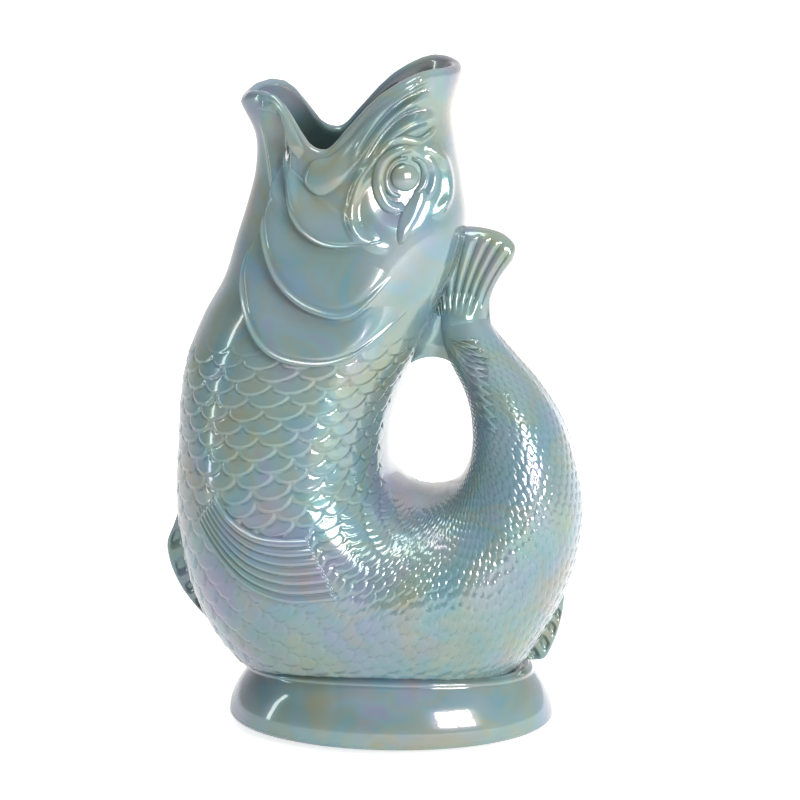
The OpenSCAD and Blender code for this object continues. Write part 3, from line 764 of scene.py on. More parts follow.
def run_tree(mesh, tree, values):
    """A plain mesh of what a tree makes of a mesh, with the tree's inputs set by name."""
    carrier = show("carrier", mesh)
    modifier = carrier.modifiers.new("tree", "NODES")
    modifier.node_group = tree
    for item in tree.interface.items_tree:
        if item.item_type == "SOCKET" and item.in_out == "INPUT" and item.name in values:
            modifier[item.identifier] = values[item.name]
    bpy.context.view_layer.update()
    graph = bpy.context.evaluated_depsgraph_get()
    made = bpy.data.meshes.new_from_object(carrier.evaluated_get(graph), depsgraph=graph)
    carrier.modifiers.remove(modifier)
    bpy.data.objects.remove(carrier)
    return made


def scaled_mesh(name, mesh, place, turn):
    """A shell's mesh with scales raised on its outer grid, whose points come first."""
    total = len(mesh.vertices)
    values = scale_values(place, turn)
    for key, rows in values.items():
        vector = rows.ndim == 3
        data = (whole(rows) if vector else mirrored(rows)).reshape(-1, 3 if vector else 1)
        full = np.zeros((total, data.shape[1]))
        full[:len(data)] = data
        attribute = mesh.attributes.new(key, "FLOAT_VECTOR" if vector else "FLOAT", "POINT")
        attribute.data.foreach_set("vector" if vector else "value", full.ravel())
    tree = bpy.data.node_groups.get("fish_scales") or scale_tree(pearl_glaze())
    look = sizes()
    made = run_tree(mesh, tree, {
        "Step": look.scale_step, "Bead": look.scale_bead, "Groove": look.scale_groove,
        "Softness": SCALE_SOFTNESS})
    made.name = name
    for key in values:
        made.attributes.remove(made.attributes[key])
    made.materials.clear()
    return made


def half_turns():
    """Turns from the belly line to the back."""
    return np.linspace(0, math.pi, sizes().columns // 2 + 1)[None, :]


def half_grid(start, end, rows):
    """Places and turns of a grid on the left side of the body."""
    return np.broadcast_arrays(np.linspace(start, end, rows)[:, None], half_turns())


# The foot's top: its neck is a little narrower than the foot, and rises at its two sides
FOOT_H = 23 * MM
FOOT_SADDLE = 4 * MM
NECK_SHARES = (98 / 116, 72 / 91)
SEAT_GAP = 0.25 * MM


def foot_neck():
    """Half width and half depth of the foot's neck."""
    return half_oval("foot") * NECK_SHARES


def seat_height(y, sunk=0.0):
    """Height of the saddle on top of the foot, that the belly sits on."""
    return FOOT_H - sunk + FOOT_SADDLE * (y / foot_neck()[1]) ** 2


def seated(grid, lift):
    """Keeps a grid above the foot's saddle."""
    grid = grid.copy()
    grid[..., 2] = np.maximum(grid[..., 2], seat_height(grid[..., 1]) + lift)
    return grid


class JUG_OT_head(bpy.types.Operator):
    """Head with the open mouth, its rounded rim and the folds round the eyes"""

    bl_idname = "jug.head"
    bl_label = "Head"

    def execute(self, context):
        wall = sizes().wall
        lip = wall / 2
        turn = half_turns()

        def down(depth, count):
            start = rim_place(turn, depth, lip)
            place = start + (NECK_SEAM - start) * np.linspace(0, 1, count)[:, None]
            return place, np.broadcast_to(turn, place.shape)

        place, turns = down(0.0, HEAD_ROWS)
        outer = skin(place, turns, -head_rise(place, turns))
        inner = skin(*down(wall, HEAD_INNER_ROWS), wall)
        # The rim is a half round between the two walls
        way = np.linspace(0, math.pi, RIM_ROWS + 2)[1:-1, None, None]
        centre, across = (outer[0] + inner[0]) / 2, (outer[0] - inner[0]) / 2
        rim = centre + across * np.cos(way) + np.array([0, 0, lip]) * np.sin(way)
        points, groups, edges = hollow_mesh(whole(np.concatenate([rim[::-1], outer])), whole(inner))
        place_piece("head_glazed", mesh_of("head_glazed", points, groups, edges[2:]), "head_shell")
        return {"FINISHED"}


# The other shells: piece, node, its start and end, the end of its hollow, and the rows of its two skins
SHELLS = (
    ("chest_glazed", "chest_shell", NECK_SEAM, BELLY_SEAM, BELLY_SEAM, 150, 20),
    ("belly_glazed", "belly_shell", BELLY_SEAM, TAIL_SEAM, TAIL_SEAM, 240, 30),
    ("handle_glazed", "tail_shell", TAIL_SEAM, 1, HOLLOW_END, 210, 30))


class JUG_OT_trunk(bpy.types.Operator):
    """Chest, belly and handle, with their overlapping scales"""

    bl_idname = "jug.trunk"
    bl_label = "Chest, belly and handle"

    def execute(self, context):
        wall = sizes().wall
        for name, node, start, end, inner_end, rows, inner_rows in SHELLS:
            place, turn = half_grid(start, end, rows)
            outer, inner = skin(place, turn), skin(*half_grid(start, inner_end, inner_rows), wall)
            if node == "belly_shell":
                outer, inner = seated(outer, 0), seated(inner, wall)
            mesh = mesh_of(name, *hollow_mesh(whole(outer), whole(inner), node == "tail_shell"))
            place_piece(name, scaled_mesh(name, mesh, place, turn), node)
        return {"FINISHED"}


# Flank of the foot from its ring up: how far it spreads from the neck to the full foot, and its height
FOOT_SHARES = [[-0.15, 0], [0.75, 0.02], [0.98, 0.07], [1, 0.15], [0.92, 0.34], [0.68, 0.58], [0.36, 0.79],
               [0.08, 0.93], [0, 1]]
FOOT_BEAD = 1.1 * MM
FOOT_RING_W = 9 * MM
FOOT_RECESS = 4 * MM
# Points round the foot
FOOT_COLUMNS = 288


class JUG_OT_foot(bpy.types.Operator):
    """Oval foot with a saddle on top, and the wiped ring that it stands on"""

    bl_idname = "jug.foot"
    bl_label = "Foot"

    def execute(self, context):
        full, neck, stand = half_oval("foot"), foot_neck(), half_oval("foot_ring")
        inside = stand - FOOT_RING_W
        ring_h = extent("foot_ring", 2)
        turns = np.linspace(0, 2 * math.pi, FOOT_COLUMNS + 1)[:-1]

        def ring(half, height):
            x, y = half[0] * np.cos(turns), -half[1] * np.sin(turns)
            return np.stack([x, y, np.broadcast_to(height, x.shape)], axis=-1)

        def raised(half, share):
            row = ring(half, 0.0)
            row[:, 2] = ring_h + (seat_height(row[:, 1], SEAT_GAP) - ring_h) * share
            return row

        floor = ring_h + FOOT_RECESS
        rows = [ring(inside * share, floor) for share in (0.02, 0.5, 0.9)]
        rows += [ring(inside * 0.97, floor - 0.6 * MM), ring(inside, floor - 2 * MM), ring(inside, ring_h)]
        # A thin bead runs round its top edge
        rows += [raised(neck + (full - neck) * spread + FOOT_BEAD * hump(rise, 0.93, 0.05), rise)
                 for spread, rise in along(FOOT_SHARES, np.linspace(0, 1, 90))]
        rows += [raised(neck * share, 1) for share in (0.97, 0.9, 0.75, 0.5, 0.25, 0.02)]
        loop = np.arange(FOOT_COLUMNS)
        last = (len(rows) - 1) * FOOT_COLUMNS
        mesh = mesh_of("foot_glazed", rows, [
            grid_faces(len(rows), FOOT_COLUMNS, 0, True), [loop[::-1], last + loop]],
            [5 * FOOT_COLUMNS + loop, 6 * FOOT_COLUMNS + loop])
        place_piece("foot_glazed", mesh, "foot")
        # The ring is glazed on its sides and wiped bare underneath
        soft = 0.5 * MM
        corner = ((0, ring_h), (0, soft), (soft * 0.3, soft * 0.3), (soft, 0))
        rows = [ring(stand - step, height) for step, height in corner]
        rows += [ring(inside + step, height) for step, height in corner[::-1]]
        last = (len(rows) - 1) * FOOT_COLUMNS
        closed = np.append(loop, 0)
        mesh = mesh_of("foot_ring_wiped", rows, [
            grid_faces(len(rows), FOOT_COLUMNS, 0, True), strip_faces(last + closed, closed)],
            [loop, last + loop])
        piece = place_piece("foot_ring_wiped", mesh, "foot_ring", [bare_clay(), pearl_glaze()])
        for face in piece.data.polygons:
            face.material_index = 0 if face.center.z < soft * 0.6 else 1
        return {"FINISHED"}


# Side views of the plates, lips and fins, as shares of the width and height
CHEEK_TOP = [[-0.235, 0.88], [-0.2, 0.85], [-0.15, 0.828], [-0.1, 0.805], [-0.04, 0.79], [0.02, 0.79]]
CHEEK_EDGE = [[-0.245, 0.89], [-0.23, 0.846], [-0.218, 0.8], [-0.18, 0.766], [-0.11, 0.75],
              [0.02, 0.76]]
PREOPERCLE_EDGE = [[-0.275, 0.8], [-0.273, 0.745], [-0.235, 0.692], [-0.16, 0.657], [-0.065, 0.652],
                   [0.04, 0.715]]
OPERCLE_EDGE = [[-0.298, 0.76], [-0.325, 0.683], [-0.285, 0.612], [-0.2, 0.583], [-0.075, 0.592],
                [0.085, 0.665]]
UPPER_LIP_TOP = [[-0.182, 0.852], [-0.165, 0.872], [-0.125, 0.88], [-0.085, 0.902], [-0.045, 0.932],
                 [0, 0.958], [0.05, 0.977], [0.1, 0.987]]
UPPER_LIP_LOW = [[-0.184, 0.836], [-0.145, 0.822], [-0.102, 0.836], [-0.066, 0.862], [-0.036, 0.892],
                 [0, 0.926], [0.045, 0.951], [0.102, 0.968]]
LOWER_LIP_TOP = [[-0.298, 0.953], [-0.268, 0.9525], [-0.243, 0.944], [-0.22, 0.927], [-0.199, 0.903],
                 [-0.183, 0.885]]
LOWER_LIP_LOW = [[-0.305, 0.936], [-0.281, 0.935], [-0.259, 0.927], [-0.237, 0.91], [-0.217, 0.888],
                 [-0.199, 0.868]]
PECTORAL_TOP = [[-0.387, 0.392], [-0.345, 0.36], [-0.287, 0.34], [-0.227, 0.334], [-0.167, 0.335]]
PECTORAL_LOW = [[-0.44, 0.358], [-0.387, 0.3125], [-0.307, 0.2625], [-0.207, 0.237], [-0.087, 0.24]]
PECTORAL_RIBS = 7
# Stretches of the body that pieces are pressed onto
HEAD_STRETCH = (0, 0.36)
CHEST_STRETCH = (0.32, 0.64)
TAIL_STRETCH = (0.8, 1)
# How far a piece's edges lie under the skin, and how far its back does
SUNK = 0.25 * MM
ROOTED = 1.2 * MM


def pressed(name, lines, rows, columns, height, stretch=HEAD_STRETCH, folded=True, buried=False):
    """Mesh of a piece of clay pressed onto the left flank between two lines of the side view.

    height gives how far it stands out, from the shares of the way along the lines and across them.
    Its edges are sunk into the skin, or all of it where it is buried.
    """
    u, v = np.linspace(0, 1, rows)[:, None], np.linspace(0, 1, columns)[None, :]
    top, low = (along(line, u) for line in lines)
    point = top + (low - top) * v[..., None]
    place, turn = flank_place(point, *stretch)
    base = head_rise(place, turn, point) if folded else np.zeros(place.shape)
    edge = np.minimum(np.minimum(u, 1 - u) * (rows - 1), np.minimum(v, 1 - v) * (columns - 1))
    rise = height(*np.broadcast_arrays(u, v)) - SUNK * (1 if buried else 1 - ease(edge, 0, 2))
    return slab_mesh(name, skin(place, turn, -(base + rise)), skin(place, turn, -(base - ROOTED)))


def sprig(name, node, *shape, **options):
    """Presses a piece of clay onto both flanks, shaped as in pressed()."""
    place_pair(name, pressed(f"{name}_left", *shape, **options), node)


def plate_height(thick, roll):
    """Height of a gill plate, which grows towards its free edge and rounds over there."""

    def height(u, v):
        swell = 0.12 + 0.88 * ease(v, 0.1, 0.92)
        # The free edge is rolled, with a shallow channel inside it
        rolled = 0.22 * hump(v, 0.93, 0.04) - 0.1 * hump(v, 0.84, 0.05)
        # Both its ends run out under the skin
        ends, under = 0.15 + 0.85 * taper(u, 0.14, 0.3), 1 - taper(u, 0.1, 0.17)
        rise = thick * (swell + rolled) * arc((v - 1 + roll) / roll) * ends * ease(v, 0, 0.15)
        return rise - 0.7 * MM * under

    return height


# The gill plates: their two lines, and the share of their width that the free edge rounds over in
PLATES = (
    ("opercle", PREOPERCLE_EDGE, OPERCLE_EDGE, 0.07),
    ("preopercle", CHEEK_EDGE, PREOPERCLE_EDGE, 0.07),
    ("cheek", CHEEK_TOP, CHEEK_EDGE, 0.13))
PLATE_T = 2.5 * MM


class JUG_OT_gills(bpy.types.Operator):
    """Three overlapping gill plates on each side"""

    bl_idname = "jug.gills"
    bl_label = "Gill plates"

    def execute(self, context):
        for node, start, edge, roll in PLATES:
            sprig(f"{node}_glazed", node, view_shares([start, edge]), 150, 60, plate_height(PLATE_T, roll))
        return {"FINISHED"}


class JUG_OT_lips(bpy.types.Operator):
    """Rolls along the upper and lower jaw, with the lobe at the mouth's corner"""

    bl_idname = "jug.lips"
    bl_label = "Lips"

    def execute(self, context):

        def upper(u, v):
            lobe = 1 - ease(u, 0.28, 0.5)
            band = (0.45 + 0.55 * hump(v, 0.16, 0.13) + 0.45 * hump(v, 0.84, 0.13)) * taper(v, 0.12, 0.12)
            return (2.6 * lobe * dome(v) * arc(1 - u / 0.13)
                    + 1.5 * (1 - lobe) * band * ease(1 - u, 0, 0.12)) * MM

        def lower(u, v):
            return 1.7 * MM * dome(v) * taper(u, 0.25, 0.2)

        sprig("upper_lip_glazed", "upper_lip", view_shares([UPPER_LIP_TOP, UPPER_LIP_LOW]), 200, 50, upper)
        sprig("lower_lip_glazed", "lower_lip", view_shares([LOWER_LIP_TOP, LOWER_LIP_LOW]), 130, 26, lower)
        return {"FINISHED"}


def ribbon(path, half):
    """Two lines of the side view on either side of a path in millimetres from the eye's centre."""
    share = np.linspace(0, 1, 60)
    line = along(np.array(path) * MM, share)
    width = np.interp(share, np.linspace(0, 1, len(half)), half) * MM
    run = np.gradient(line, axis=0)
    run /= np.linalg.norm(run, axis=1, keepdims=True)
    side = np.stack([-run[:, 1], run[:, 0]], axis=1) * width[:, None]
    return eye_point() + line + side, eye_point() + line - side


# Scroll round the eye, the frond under it, the brow and the two lids
SCROLL = [(3.0, 9.6), (-2.0, 9.6), (-6.6, 6.8), (-8.9, 1.5), (-8.8, -4.0), (-6.4, -8.8), (-2.6, -10.6),
          (0.6, -9.0)]
FROND = [(5.6, -3.6), (4.6, -8.4), (1.8, -13.4), (-0.6, -18.4), (-1.4, -23.4)]
BROW = [(9.6, 16.4), (4.4, 12.2), (-1.4, 13.0), (-6.6, 11.4), (-11.0, 7.4)]
LID = [(1.5, 6.4), (-3.0, 6.0), (-6.0, 2.5), (-6.3, -2.2), (-4.0, -5.6), (-0.5, -6.6)]
LID_BEHIND = [(1.8, 6.6), (5.0, 4.8), (6.6, 1.0), (6.0, -3.2), (3.4, -6.2)]
# The pieces round the eye: path, half widths, height and rows of points
EYE_RINGS = (
    (SCROLL, (1.6, 2.2, 2.4, 2.5, 2.4, 2.2, 1.6), 2.4, 110),
    (LID, (0.8, 1.1, 1.2, 1.1, 0.8), 1.5, 70),
    (LID_BEHIND, (0.8, 1.1, 1.2, 1.1, 0.8), 1.5, 70),
    (FROND, (1.2, 2.6, 3.2, 2.4, 0.5), 1.7, 90))
EYE_RADIUS = 4.9 * MM
EYE_HEIGHT = 2.6 * MM


def bead(high):
    """Height of a rounded bead across a ribbon, tapered at both its ends."""

    def height(u, v):
        round_over = np.clip(1 - (2 * v - 1) ** 2, 0, 1) ** 0.6
        return high * MM * round_over * taper(u, 0.14, 0.14)

    return height


class JUG_OT_eyes(bpy.types.Operator):
    """Domed eyes, the scrolls round them and the brows"""

    bl_idname = "jug.eyes"
    bl_label = "Eyes"

    def execute(self, context):
        self.ball()
        # The lids, the scroll and the frond are pressed on as one piece of clay
        points, faces, total = [], [], 0
        for path, half, high, rows in EYE_RINGS:
            mesh = pressed("part", ribbon(path, half), rows, 24, bead(high), buried=True)
            points.append(points_of(mesh))
            faces += [[total + corner for corner in face.vertices] for face in mesh.polygons]
            total += len(mesh.vertices)
            bpy.data.meshes.remove(mesh)
        mesh = mesh_of("eye_ring_glazed_left", np.concatenate(points), [faces])
        place_pair("eye_ring_glazed", mesh, "eye_ring")
        sprig("brow_glazed", "brow", ribbon(BROW, (0.8, 1.7, 1.9, 1.6, 0.8)), 90, 22, bead(1.7))
        return {"FINISHED"}

    def ball(self):
        """The eye's dome, set flat on the skin."""
        quarter = np.linspace(0, math.pi / 2, 30)[1:, None, None]
        turns = np.linspace(0, 2 * math.pi, 73)[:-1, None]
        place, turn = flank_place(eye_point()[None], *HEAD_STRETCH)
        base, normal = skin(place, turn)[0], outward(place, turn)[0]
        right = np.array([1.0, 0, 0]) - normal * normal[0]
        right /= np.linalg.norm(right)
        up = np.cross(right, normal)
        up *= np.sign(up[2])
        sunk = SOCKET_DEPTH * 0.8
        off = np.sin(quarter) * EYE_RADIUS * (np.cos(turns) * right + np.sin(turns) * up)
        rows = base + off + (np.cos(quarter) * EYE_HEIGHT - sunk) * normal
        rows = np.concatenate([rows, rows[-1:] - normal * ROOTED])
        ends = [base + normal * (EYE_HEIGHT - sunk), base - normal * (sunk + ROOTED)]
        count, columns = rows.shape[:2]
        loop = np.arange(columns + 1) % columns
        mesh = mesh_of("eye_glazed_left", np.concatenate([rows.reshape(-1, 3), ends]), [
            grid_faces(count, columns, 0, True), fan_faces(loop, count * columns, True),
            fan_faces((count - 1) * columns + loop, count * columns + 1)])
        place_pair("eye_glazed", mesh, "eye")


class JUG_OT_pectoral(bpy.types.Operator):
    """Ribbed side fins, laid back along the belly"""

    bl_idname = "jug.pectoral"
    bl_label = "Side fins"

    def execute(self, context):

        def height(u, v):
            way = np.mod(PECTORAL_RIBS * v, 1)
            rib = ease(way, 0.0, 0.55) * (1 - ease(way, 0.78, 1))
            root = 0.35 + 0.65 * ease(u, 0, 0.6)
            end = arc((u - 0.955 - 0.02 * rib) / 0.025)
            sides = np.clip(np.minimum(v, 1 - v) / 0.03, 0, 1) ** 0.5
            return (2.5 * root + 0.9 * rib * root) * end * sides * ease(u, 0, 0.12) * MM

        lines = view_shares([PECTORAL_TOP, PECTORAL_LOW])
        sprig("pectoral_glazed", "pectoral_fin", lines, 150, 145, height, stretch=CHEST_STRETCH, folded=False)
        return {"FINISHED"}


# The keel fins: how far they stand out, as shares along them, and where their rays stand
VENTRAL_SHARES = [0.12, 0.45, 0.92, 1, 0.93, 0.8, 0.6, 0.38, 0.22, 0.14, 0.1]
VENTRAL_RAYS = [0.08, 0.26, 0.43, 0.54, 0.65, 0.75, 0.85, 0.93]
ANAL_SHARES = [0.12, 0.6, 1, 0.95, 0.82, 0.62, 0.38, 0.12]
ANAL_RAYS = [0.04, 0.26, 0.46, 0.66, 0.84]
VENTRAL_H = 7.5 * MM
ANAL_H = 7 * MM
# Places along the body of the fins' upper ends
VENTRAL_START = 0.414
ANAL_END = 0.728
# Their lower ends are looked for from here and from the handle's seam to the belly's lowest point
SEARCH_START = 0.42
BELLY_FLOOR = 0.61
KEEL_T = 5 * MM
KEEL_LIFT = 2 * MM


class JUG_OT_keels(bpy.types.Operator):
    """Rayed keel under the chest, and the small fin where the tail leaves the foot"""

    bl_idname = "jug.keels"
    bl_label = "Keel fins"

    def execute(self, context):
        low_front = self.place_at(SEARCH_START, BELLY_FLOOR, True)
        low_back = self.place_at(BELLY_FLOOR, TAIL_SEAM, False)
        self.fin("ventral_glazed", "ventral_fin", VENTRAL_START, low_front, VENTRAL_SHARES, VENTRAL_H,
                 VENTRAL_RAYS)
        self.fin("anal_glazed", "anal_fin", low_back, ANAL_END, ANAL_SHARES, ANAL_H, ANAL_RAYS)
        return {"FINISHED"}

    def place_at(self, low, high, falling):
        """Place on the belly line just above the foot."""

        def beyond(place):
            return (section(place)[0][..., 1] < FOOT_H + KEEL_LIFT) == falling

        return float(halving(beyond, low, high, (1,))[0])

    def fin(self, name, node, start, end, shares, high, rays):
        i, s = np.linspace(0, 1, 40 * len(rays))[:, None], np.linspace(0, 1, 15)[None, :]
        rise = high * np.maximum(0.1, along(np.array(shares)[:, None], i)[..., 0])
        # The rays lean back, so a groove starts further on at the edge than at the root
        phase = np.interp(i - 0.03 * s, rays, np.arange(len(rays)))
        ray = 0.5 - 0.5 * np.cos(2 * math.pi * phase)
        groove = ease(ray - 1.2 * (s - 0.5) ** 2, 0.05, 1) * ease(s, 0.08, 0.4) * ease(1 - s, 0.08, 0.3)
        thick = KEEL_T / 2 * (0.72 - 0.3 * s + 0.5 * (1 - s) ** 3)
        thick = thick * (1 - 0.85 * groove) * arc((s - 0.8) / 0.2)
        point = skin(start + (end - start) * i, 0 * i * s, ROOTED - (rise + ROOTED) * s)
        point[..., 1] -= thick
        place_piece(name, keel_mesh(name, point), node)


# The web from its lower edge up: its places on the nape and on the handle, and its arch between them
WEB_SHARES = [[0.331, 0.883, 12.8], [0.315, 0.905, 8.5], [0.295, 0.94, 3], [0.275, 0.975, 0],
              [0.252, 0.999, 0]]
WEB_ROOT = 0.8 * MM
# The web's thickness, as a share of its CAD node's
WEB_THICKNESS = 0.92
# The tail fin's root and its outer edge in the side view, from the nape to its free rim
FAN_ROOT = [(0.118, 0.604), (0.124, 0.607), (0.138, 0.61), (0.175, 0.613), (0.236, 0.616)]
FAN_EDGE = [(0.083, 0.621), (0.085, 0.65), (0.099, 0.685), (0.116, 0.722), (0.133, 0.752), (0.182, 0.758),
            (0.229, 0.755), (0.266, 0.747), (0.292, 0.73), (0.287, 0.71)]
FAN_RIBS = 11
RIB_DEPTH = 1.3 * MM
FAN_BEND = 3.2 * MM
# The comb along the handle, in the side view: the line it fades from and the line its teeth point to
COMB_BACK = [(0.132, 0.6), (0.165, 0.582), (0.185, 0.548), (0.2, 0.51), (0.232, 0.468)]
COMB_TIPS = [(0.21, 0.606), (0.243, 0.574), (0.268, 0.552), (0.286, 0.516), (0.296, 0.474)]
COMB_TEETH = 11
COMB_H = 1.7 * MM
# Rows of points along each tooth
TOOTH_ROWS = 26


class JUG_OT_tail(bpy.types.Operator):
    """Web above the finger hole, the ribbed tail fin and the comb along the handle"""

    bl_idname = "jug.tail"
    bl_label = "Tail fin"

    def execute(self, context):
        self.web()
        self.fan()
        self.comb()
        return {"FINISHED"}

    def web(self):
        """Web of clay between the nape and the handle, arched over the finger hole."""
        thick = extent("tail_bridge", 1) * WEB_THICKNESS
        rows = []
        for on_nape, on_tail, arch in along(WEB_SHARES, np.linspace(0, 1, 48)):
            half = [float(section(np.array(place))[2]) for place in (on_nape, on_tail)]
            turn = [math.asin(min(0.9, 1.5 * thick / 2 / size)) for size in half]
            near = skin(np.array(on_nape), math.pi - np.linspace(0, turn[0], 8), WEB_ROOT)
            far = skin(np.array(on_tail), math.pi - np.linspace(turn[1], 0, 8), WEB_ROOT)
            t = 0.5 - 0.5 * np.cos(math.pi * np.linspace(0, 1, 34)[1:-1, None])
            span = near[-1] + (far[0] - near[-1]) * t
            span[:, 1] *= 1 - 0.38 * np.sin(math.pi * t[:, 0]) ** 0.8
            span[:, 2] += max(arch, 0) * MM * dome(t[:, 0])
            rows.append(np.concatenate([near, span, far]))
        place_piece("web_glazed", keel_mesh("web_glazed", np.array(rows)), "tail_bridge")

    def fan(self):
        """Tail fin whose ribs spread from the end of the handle over the nape and up to a free rim."""
        thick = extent("tail_fin", 1) / 2
        s, t = np.linspace(0, 1, 110)[:, None], np.linspace(0, 1, 16 * FAN_RIBS + 1)[None, :]
        root, edge = along(view_shares(FAN_ROOT), t), along(view_shares(FAN_EDGE), t)
        point = root + (edge - root) * s[..., None]
        # The free rim bends outwards on its way up
        point[..., 0] -= FAN_BEND * np.sin(math.pi * s) * t ** 2
        place, turn = flank_place(point, 0.12, 0.36)
        nape = -skin(place, turn)[..., 1]
        rib = np.abs(np.sin(math.pi * FAN_RIBS * np.clip(t / 0.87, 0, 1))) ** 0.7
        rib = rib + (1 - rib) * ease(t, 0.83, 0.9)
        rim = arc((t - 0.86) / 0.14, 2.5)
        blade = thick * (1.12 - 0.34 * s) * (1.05 - 0.45 * t ** 1.5) * rim * arc((s - 0.88) / 0.12)
        # It grows out of the round end of the handle
        outer, inner, end_half, _ = section(np.array(1.0))
        off = (point[..., 0] - (outer[0] + inner[0]) / 2) / (np.linalg.norm(outer - inner) / 2 + 0.5 * MM)
        own = end_half * arc(np.abs(off))
        own = own + (blade - own) * ease(s, 0.1, 0.42)
        over = nape + 1.7 * MM * ease(s, 0.05, 0.25) * (1 - ease(s, 0.55, 0.92)) - 0.7 * MM * ease(s, 0.8, 1)
        soft = 3.5 * MM * ease(s, 0.03, 0.35)
        side = 0.5 * (own + over + np.sqrt((own - over) ** 2 + soft ** 2)) - 0.37 * soft
        proud = ease((side - nape) / (2.2 * MM), 0.1, 1)
        groove = RIB_DEPTH * (1 - rib) * ease(s, 0.12, 0.35) * ease(1 - s, 0.02, 0.16)
        side = np.maximum(side - groove * proud * rim, 0) * np.minimum(rim * 4, 1)
        side[:, [0, -1]] = 0
        rows = np.stack([point[..., 0], -side, point[..., 1]], axis=-1)
        place_piece("tail_fin_glazed", keel_mesh("tail_fin_glazed", rows), "tail_fin")

    def comb(self):
        """Low ridge along the inner side of the handle, whose edge is cut into slanted teeth."""

        def height(u, v):
            # Each tooth slants down towards its tip, and they grow towards the top
            saw = np.mod(COMB_TEETH * u - 1.1 * v, 1)
            tooth = np.where(saw < 0.65, saw / 0.65, (1 - saw) / 0.35)
            edge = 0.44 + (0.2 + 0.34 * ease(1 - u, 0.45, 0.8)) * tooth
            inside = 1 - ease(v, edge - 0.05, edge + 0.03)
            return COMB_H * inside * ease(v, 0.02, edge - 0.02) * taper(u, 0.05, 0.08)

        lines = view_shares([COMB_BACK, COMB_TIPS])
        sprig("comb_glazed", "dorsal_comb", lines, TOOTH_ROWS * COMB_TEETH, 110, height, stretch=TAIL_STRETCH,
              folded=False)


# The lamps: name, turn to the right of the front, height, distance, size, and share of which power
LAMPS = [(f"pane_{column}_{row}", turn, lift, 1.5, (0.3, 0.22), 0.25, "key_power")
         for column, turn in enumerate((36, 49)) for row, lift in enumerate((11, 21))]
LAMPS += [("strip", -80, 8, 1.1, (0.07, 0.7), 1, "fill_power"),
          ("overhead", -8, 75, 1.5, (0.7, 0.7), 1, "top_power")]
LAMPS_AIM = (0, 0, 0.13)
FLOOR_HALF = 6.0
# Light that the floor adds for the camera, so that it looks white
FLOOR_GLOW = 0.74
WHITE = (1, 1, 1, 1)


def aimed(name, data, turn, lift, distance, target):
    """An object that looks at a point from a turn to the right of the front and from a height."""
    level = math.cos(lift)
    away = Vector((math.sin(turn) * level, -math.cos(turn) * level, math.sin(lift)))
    thing = show(name, data)
    thing.location = Vector(target) + away * distance
    thing.rotation_euler = (-away).to_track_quat("-Z", "Y").to_euler()
    return thing


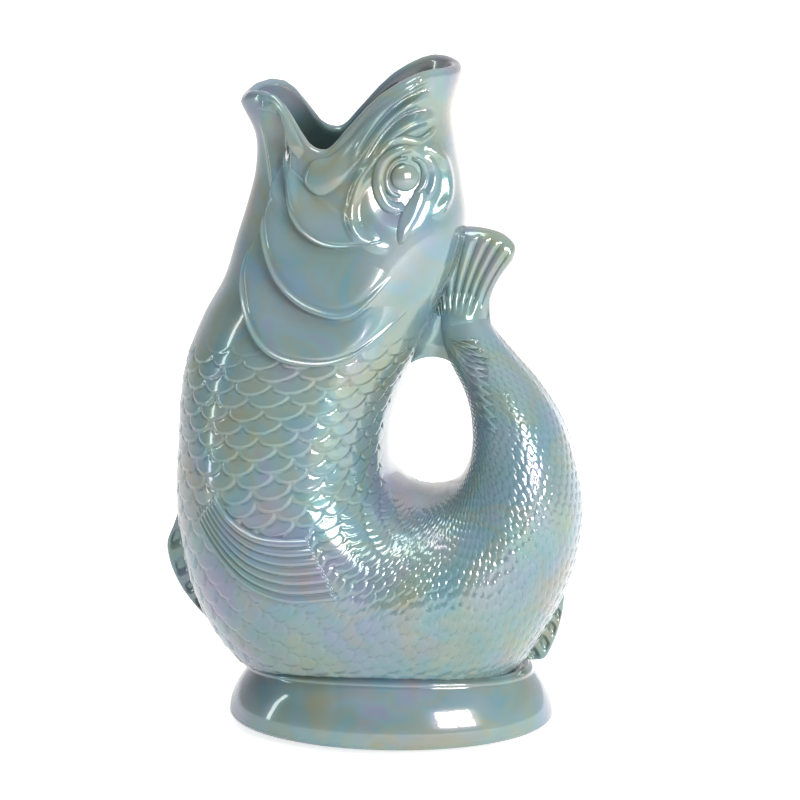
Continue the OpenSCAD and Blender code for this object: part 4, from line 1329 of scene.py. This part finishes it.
class JUG_OT_stage(bpy.types.Operator):
    """Pale floor, soft lights and the camera at the photo's angle"""

    bl_idname = "jug.stage"
    bl_label = "Stage"

    def execute(self, context):
        look = context.scene.stage_look
        self.floor(look)
        self.world()
        camera = bpy.data.cameras.new("camera")
        camera.lens, camera.sensor_width = look.focal_length, 36
        context.scene.camera = aimed("camera", camera, look.azimuth, look.elevation, look.distance, look.aim)
        # A window of four panes on the right, a narrow strip on the left and a soft light overhead
        for name, turn, lift, distance, size, share, power in LAMPS:
            lamp = bpy.data.lights.new(name, "AREA")
            lamp.shape = "RECTANGLE"
            lamp.size, lamp.size_y = size
            lamp.energy = getattr(look, power) * share
            aimed(name, lamp, math.radians(turn), math.radians(lift), distance, LAMPS_AIM)
        context.scene.view_settings.view_transform = "Standard"
        return {"FINISHED"}

    def floor(self, look):
        """A table that is white to the camera and in reflections, and still takes the jug's shadow."""
        mesh = bpy.data.meshes.new("floor")
        corners = [(x * FLOOR_HALF, y * FLOOR_HALF, 0) for x, y in ((-1, -1), (1, -1), (1, 1), (-1, 1))]
        mesh.from_pydata(corners, [], [(0, 1, 2, 3)])
        material, tree = new_material("table")
        diffuse = out(tree, "ShaderNodeBsdfDiffuse", {"Color": linear(look.floor)})
        path = add(tree, "ShaderNodeLightPath").outputs
        # In reflections it darkens to the left, away from the window
        where = out(tree, "ShaderNodeTexCoord", output="Object")
        tone = remap(tree, out(tree, "ShaderNodeSeparateXYZ", {"Vector": where}, "X"), -0.35, 0.4, 0.08, 0.65,
                     "SMOOTHSTEP")
        strength = out(tree, "ShaderNodeMix", {0: path["Is Camera Ray"], 2: tone, 3: FLOOR_GLOW})
        glow = out(tree, "ShaderNodeEmission", {"Color": WHITE, "Strength": strength})
        both = out(tree, "ShaderNodeAddShader", {0: diffuse, 1: glow})
        seen = maths(tree, "MAXIMUM", path["Is Camera Ray"], path["Is Glossy Ray"])
        mix = out(tree, "ShaderNodeMixShader", {"Fac": seen, 1: diffuse, 2: both})
        add(tree, "ShaderNodeOutputMaterial", {"Surface": mix})
        mesh.materials.append(material)
        floor = show("floor", mesh)

    def world(self):
        """A pale room that is dark on the left and in front, and plain white behind the jug."""
        world = bpy.data.worlds.new("room")
        bpy.context.scene.world = world
        world.use_nodes = True
        tree = world.node_tree
        tree.nodes.clear()
        where = out(tree, "ShaderNodeTexCoord", output="Generated")
        way = add(tree, "ShaderNodeSeparateXYZ", {"Vector": where}).outputs
        turned = maths(tree, "MULTIPLY_ADD", way["X"], 0.9, way["Y"])
        behind = remap(tree, turned, -0.4, 0.8, 0.12, 0.52, "SMOOTHSTEP")
        low = remap(tree, way["Z"], 0.0, 0.45, 0.32, 0.0, "SMOOTHSTEP")
        high = remap(tree, way["Z"], 0.25, 0.8, 0.0, 0.4, "SMOOTHSTEP")
        tone = maths(tree, "ADD", behind, maths(tree, "ADD", low, high))
        light = out(tree, "ShaderNodeBackground", {"Color": WHITE, "Strength": tone})
        plain = out(tree, "ShaderNodeBackground", {"Color": WHITE, "Strength": 1.0})
        seen = out(tree, "ShaderNodeLightPath", output="Is Camera Ray")
        mix = out(tree, "ShaderNodeMixShader", {"Fac": seen, 1: light, 2: plain})
        add(tree, "ShaderNodeOutputWorld", {"Surface": mix})


STEPS = ("stage", "head", "trunk", "foot", "gills", "lips", "eyes", "pectoral", "keels", "tail")


class JUG_PT_panel(bpy.types.Panel):
    """Sizes, colours and the steps that make the jug"""

    bl_idname = "JUG_PT_panel"
    bl_label = "Gurgle jug"
    bl_space_type = "VIEW_3D"
    bl_region_type = "UI"
    bl_category = "Jug"

    def draw(self, context):
        for group in (context.scene.jug_sizes, context.scene.jug_colours, context.scene.stage_look):
            box = self.layout.box()
            for name in group.__annotations__:
                box.prop(group, name)
        for step in STEPS:
            self.layout.operator(f"jug.{step}")


CLASSES = (
    JugSizes, JugColours, StageLook, JUG_OT_stage, JUG_OT_head, JUG_OT_trunk, JUG_OT_foot, JUG_OT_gills,
    JUG_OT_lips, JUG_OT_eyes, JUG_OT_pectoral, JUG_OT_keels, JUG_OT_tail, JUG_PT_panel)


def register():
    for cls in CLASSES:
        bpy.utils.register_class(cls)
    bpy.types.Scene.jug_sizes = PointerProperty(type=JugSizes)
    bpy.types.Scene.jug_colours = PointerProperty(type=JugColours)
    bpy.types.Scene.stage_look = PointerProperty(type=StageLook)


def unregister():
    del bpy.types.Scene.stage_look
    del bpy.types.Scene.jug_colours
    del bpy.types.Scene.jug_sizes
    for cls in reversed(CLASSES):
        bpy.utils.unregister_class(cls)


def main():
    register()
    for step in STEPS:
        getattr(bpy.ops.jug, step)()


if __name__ == "__main__":
    main()
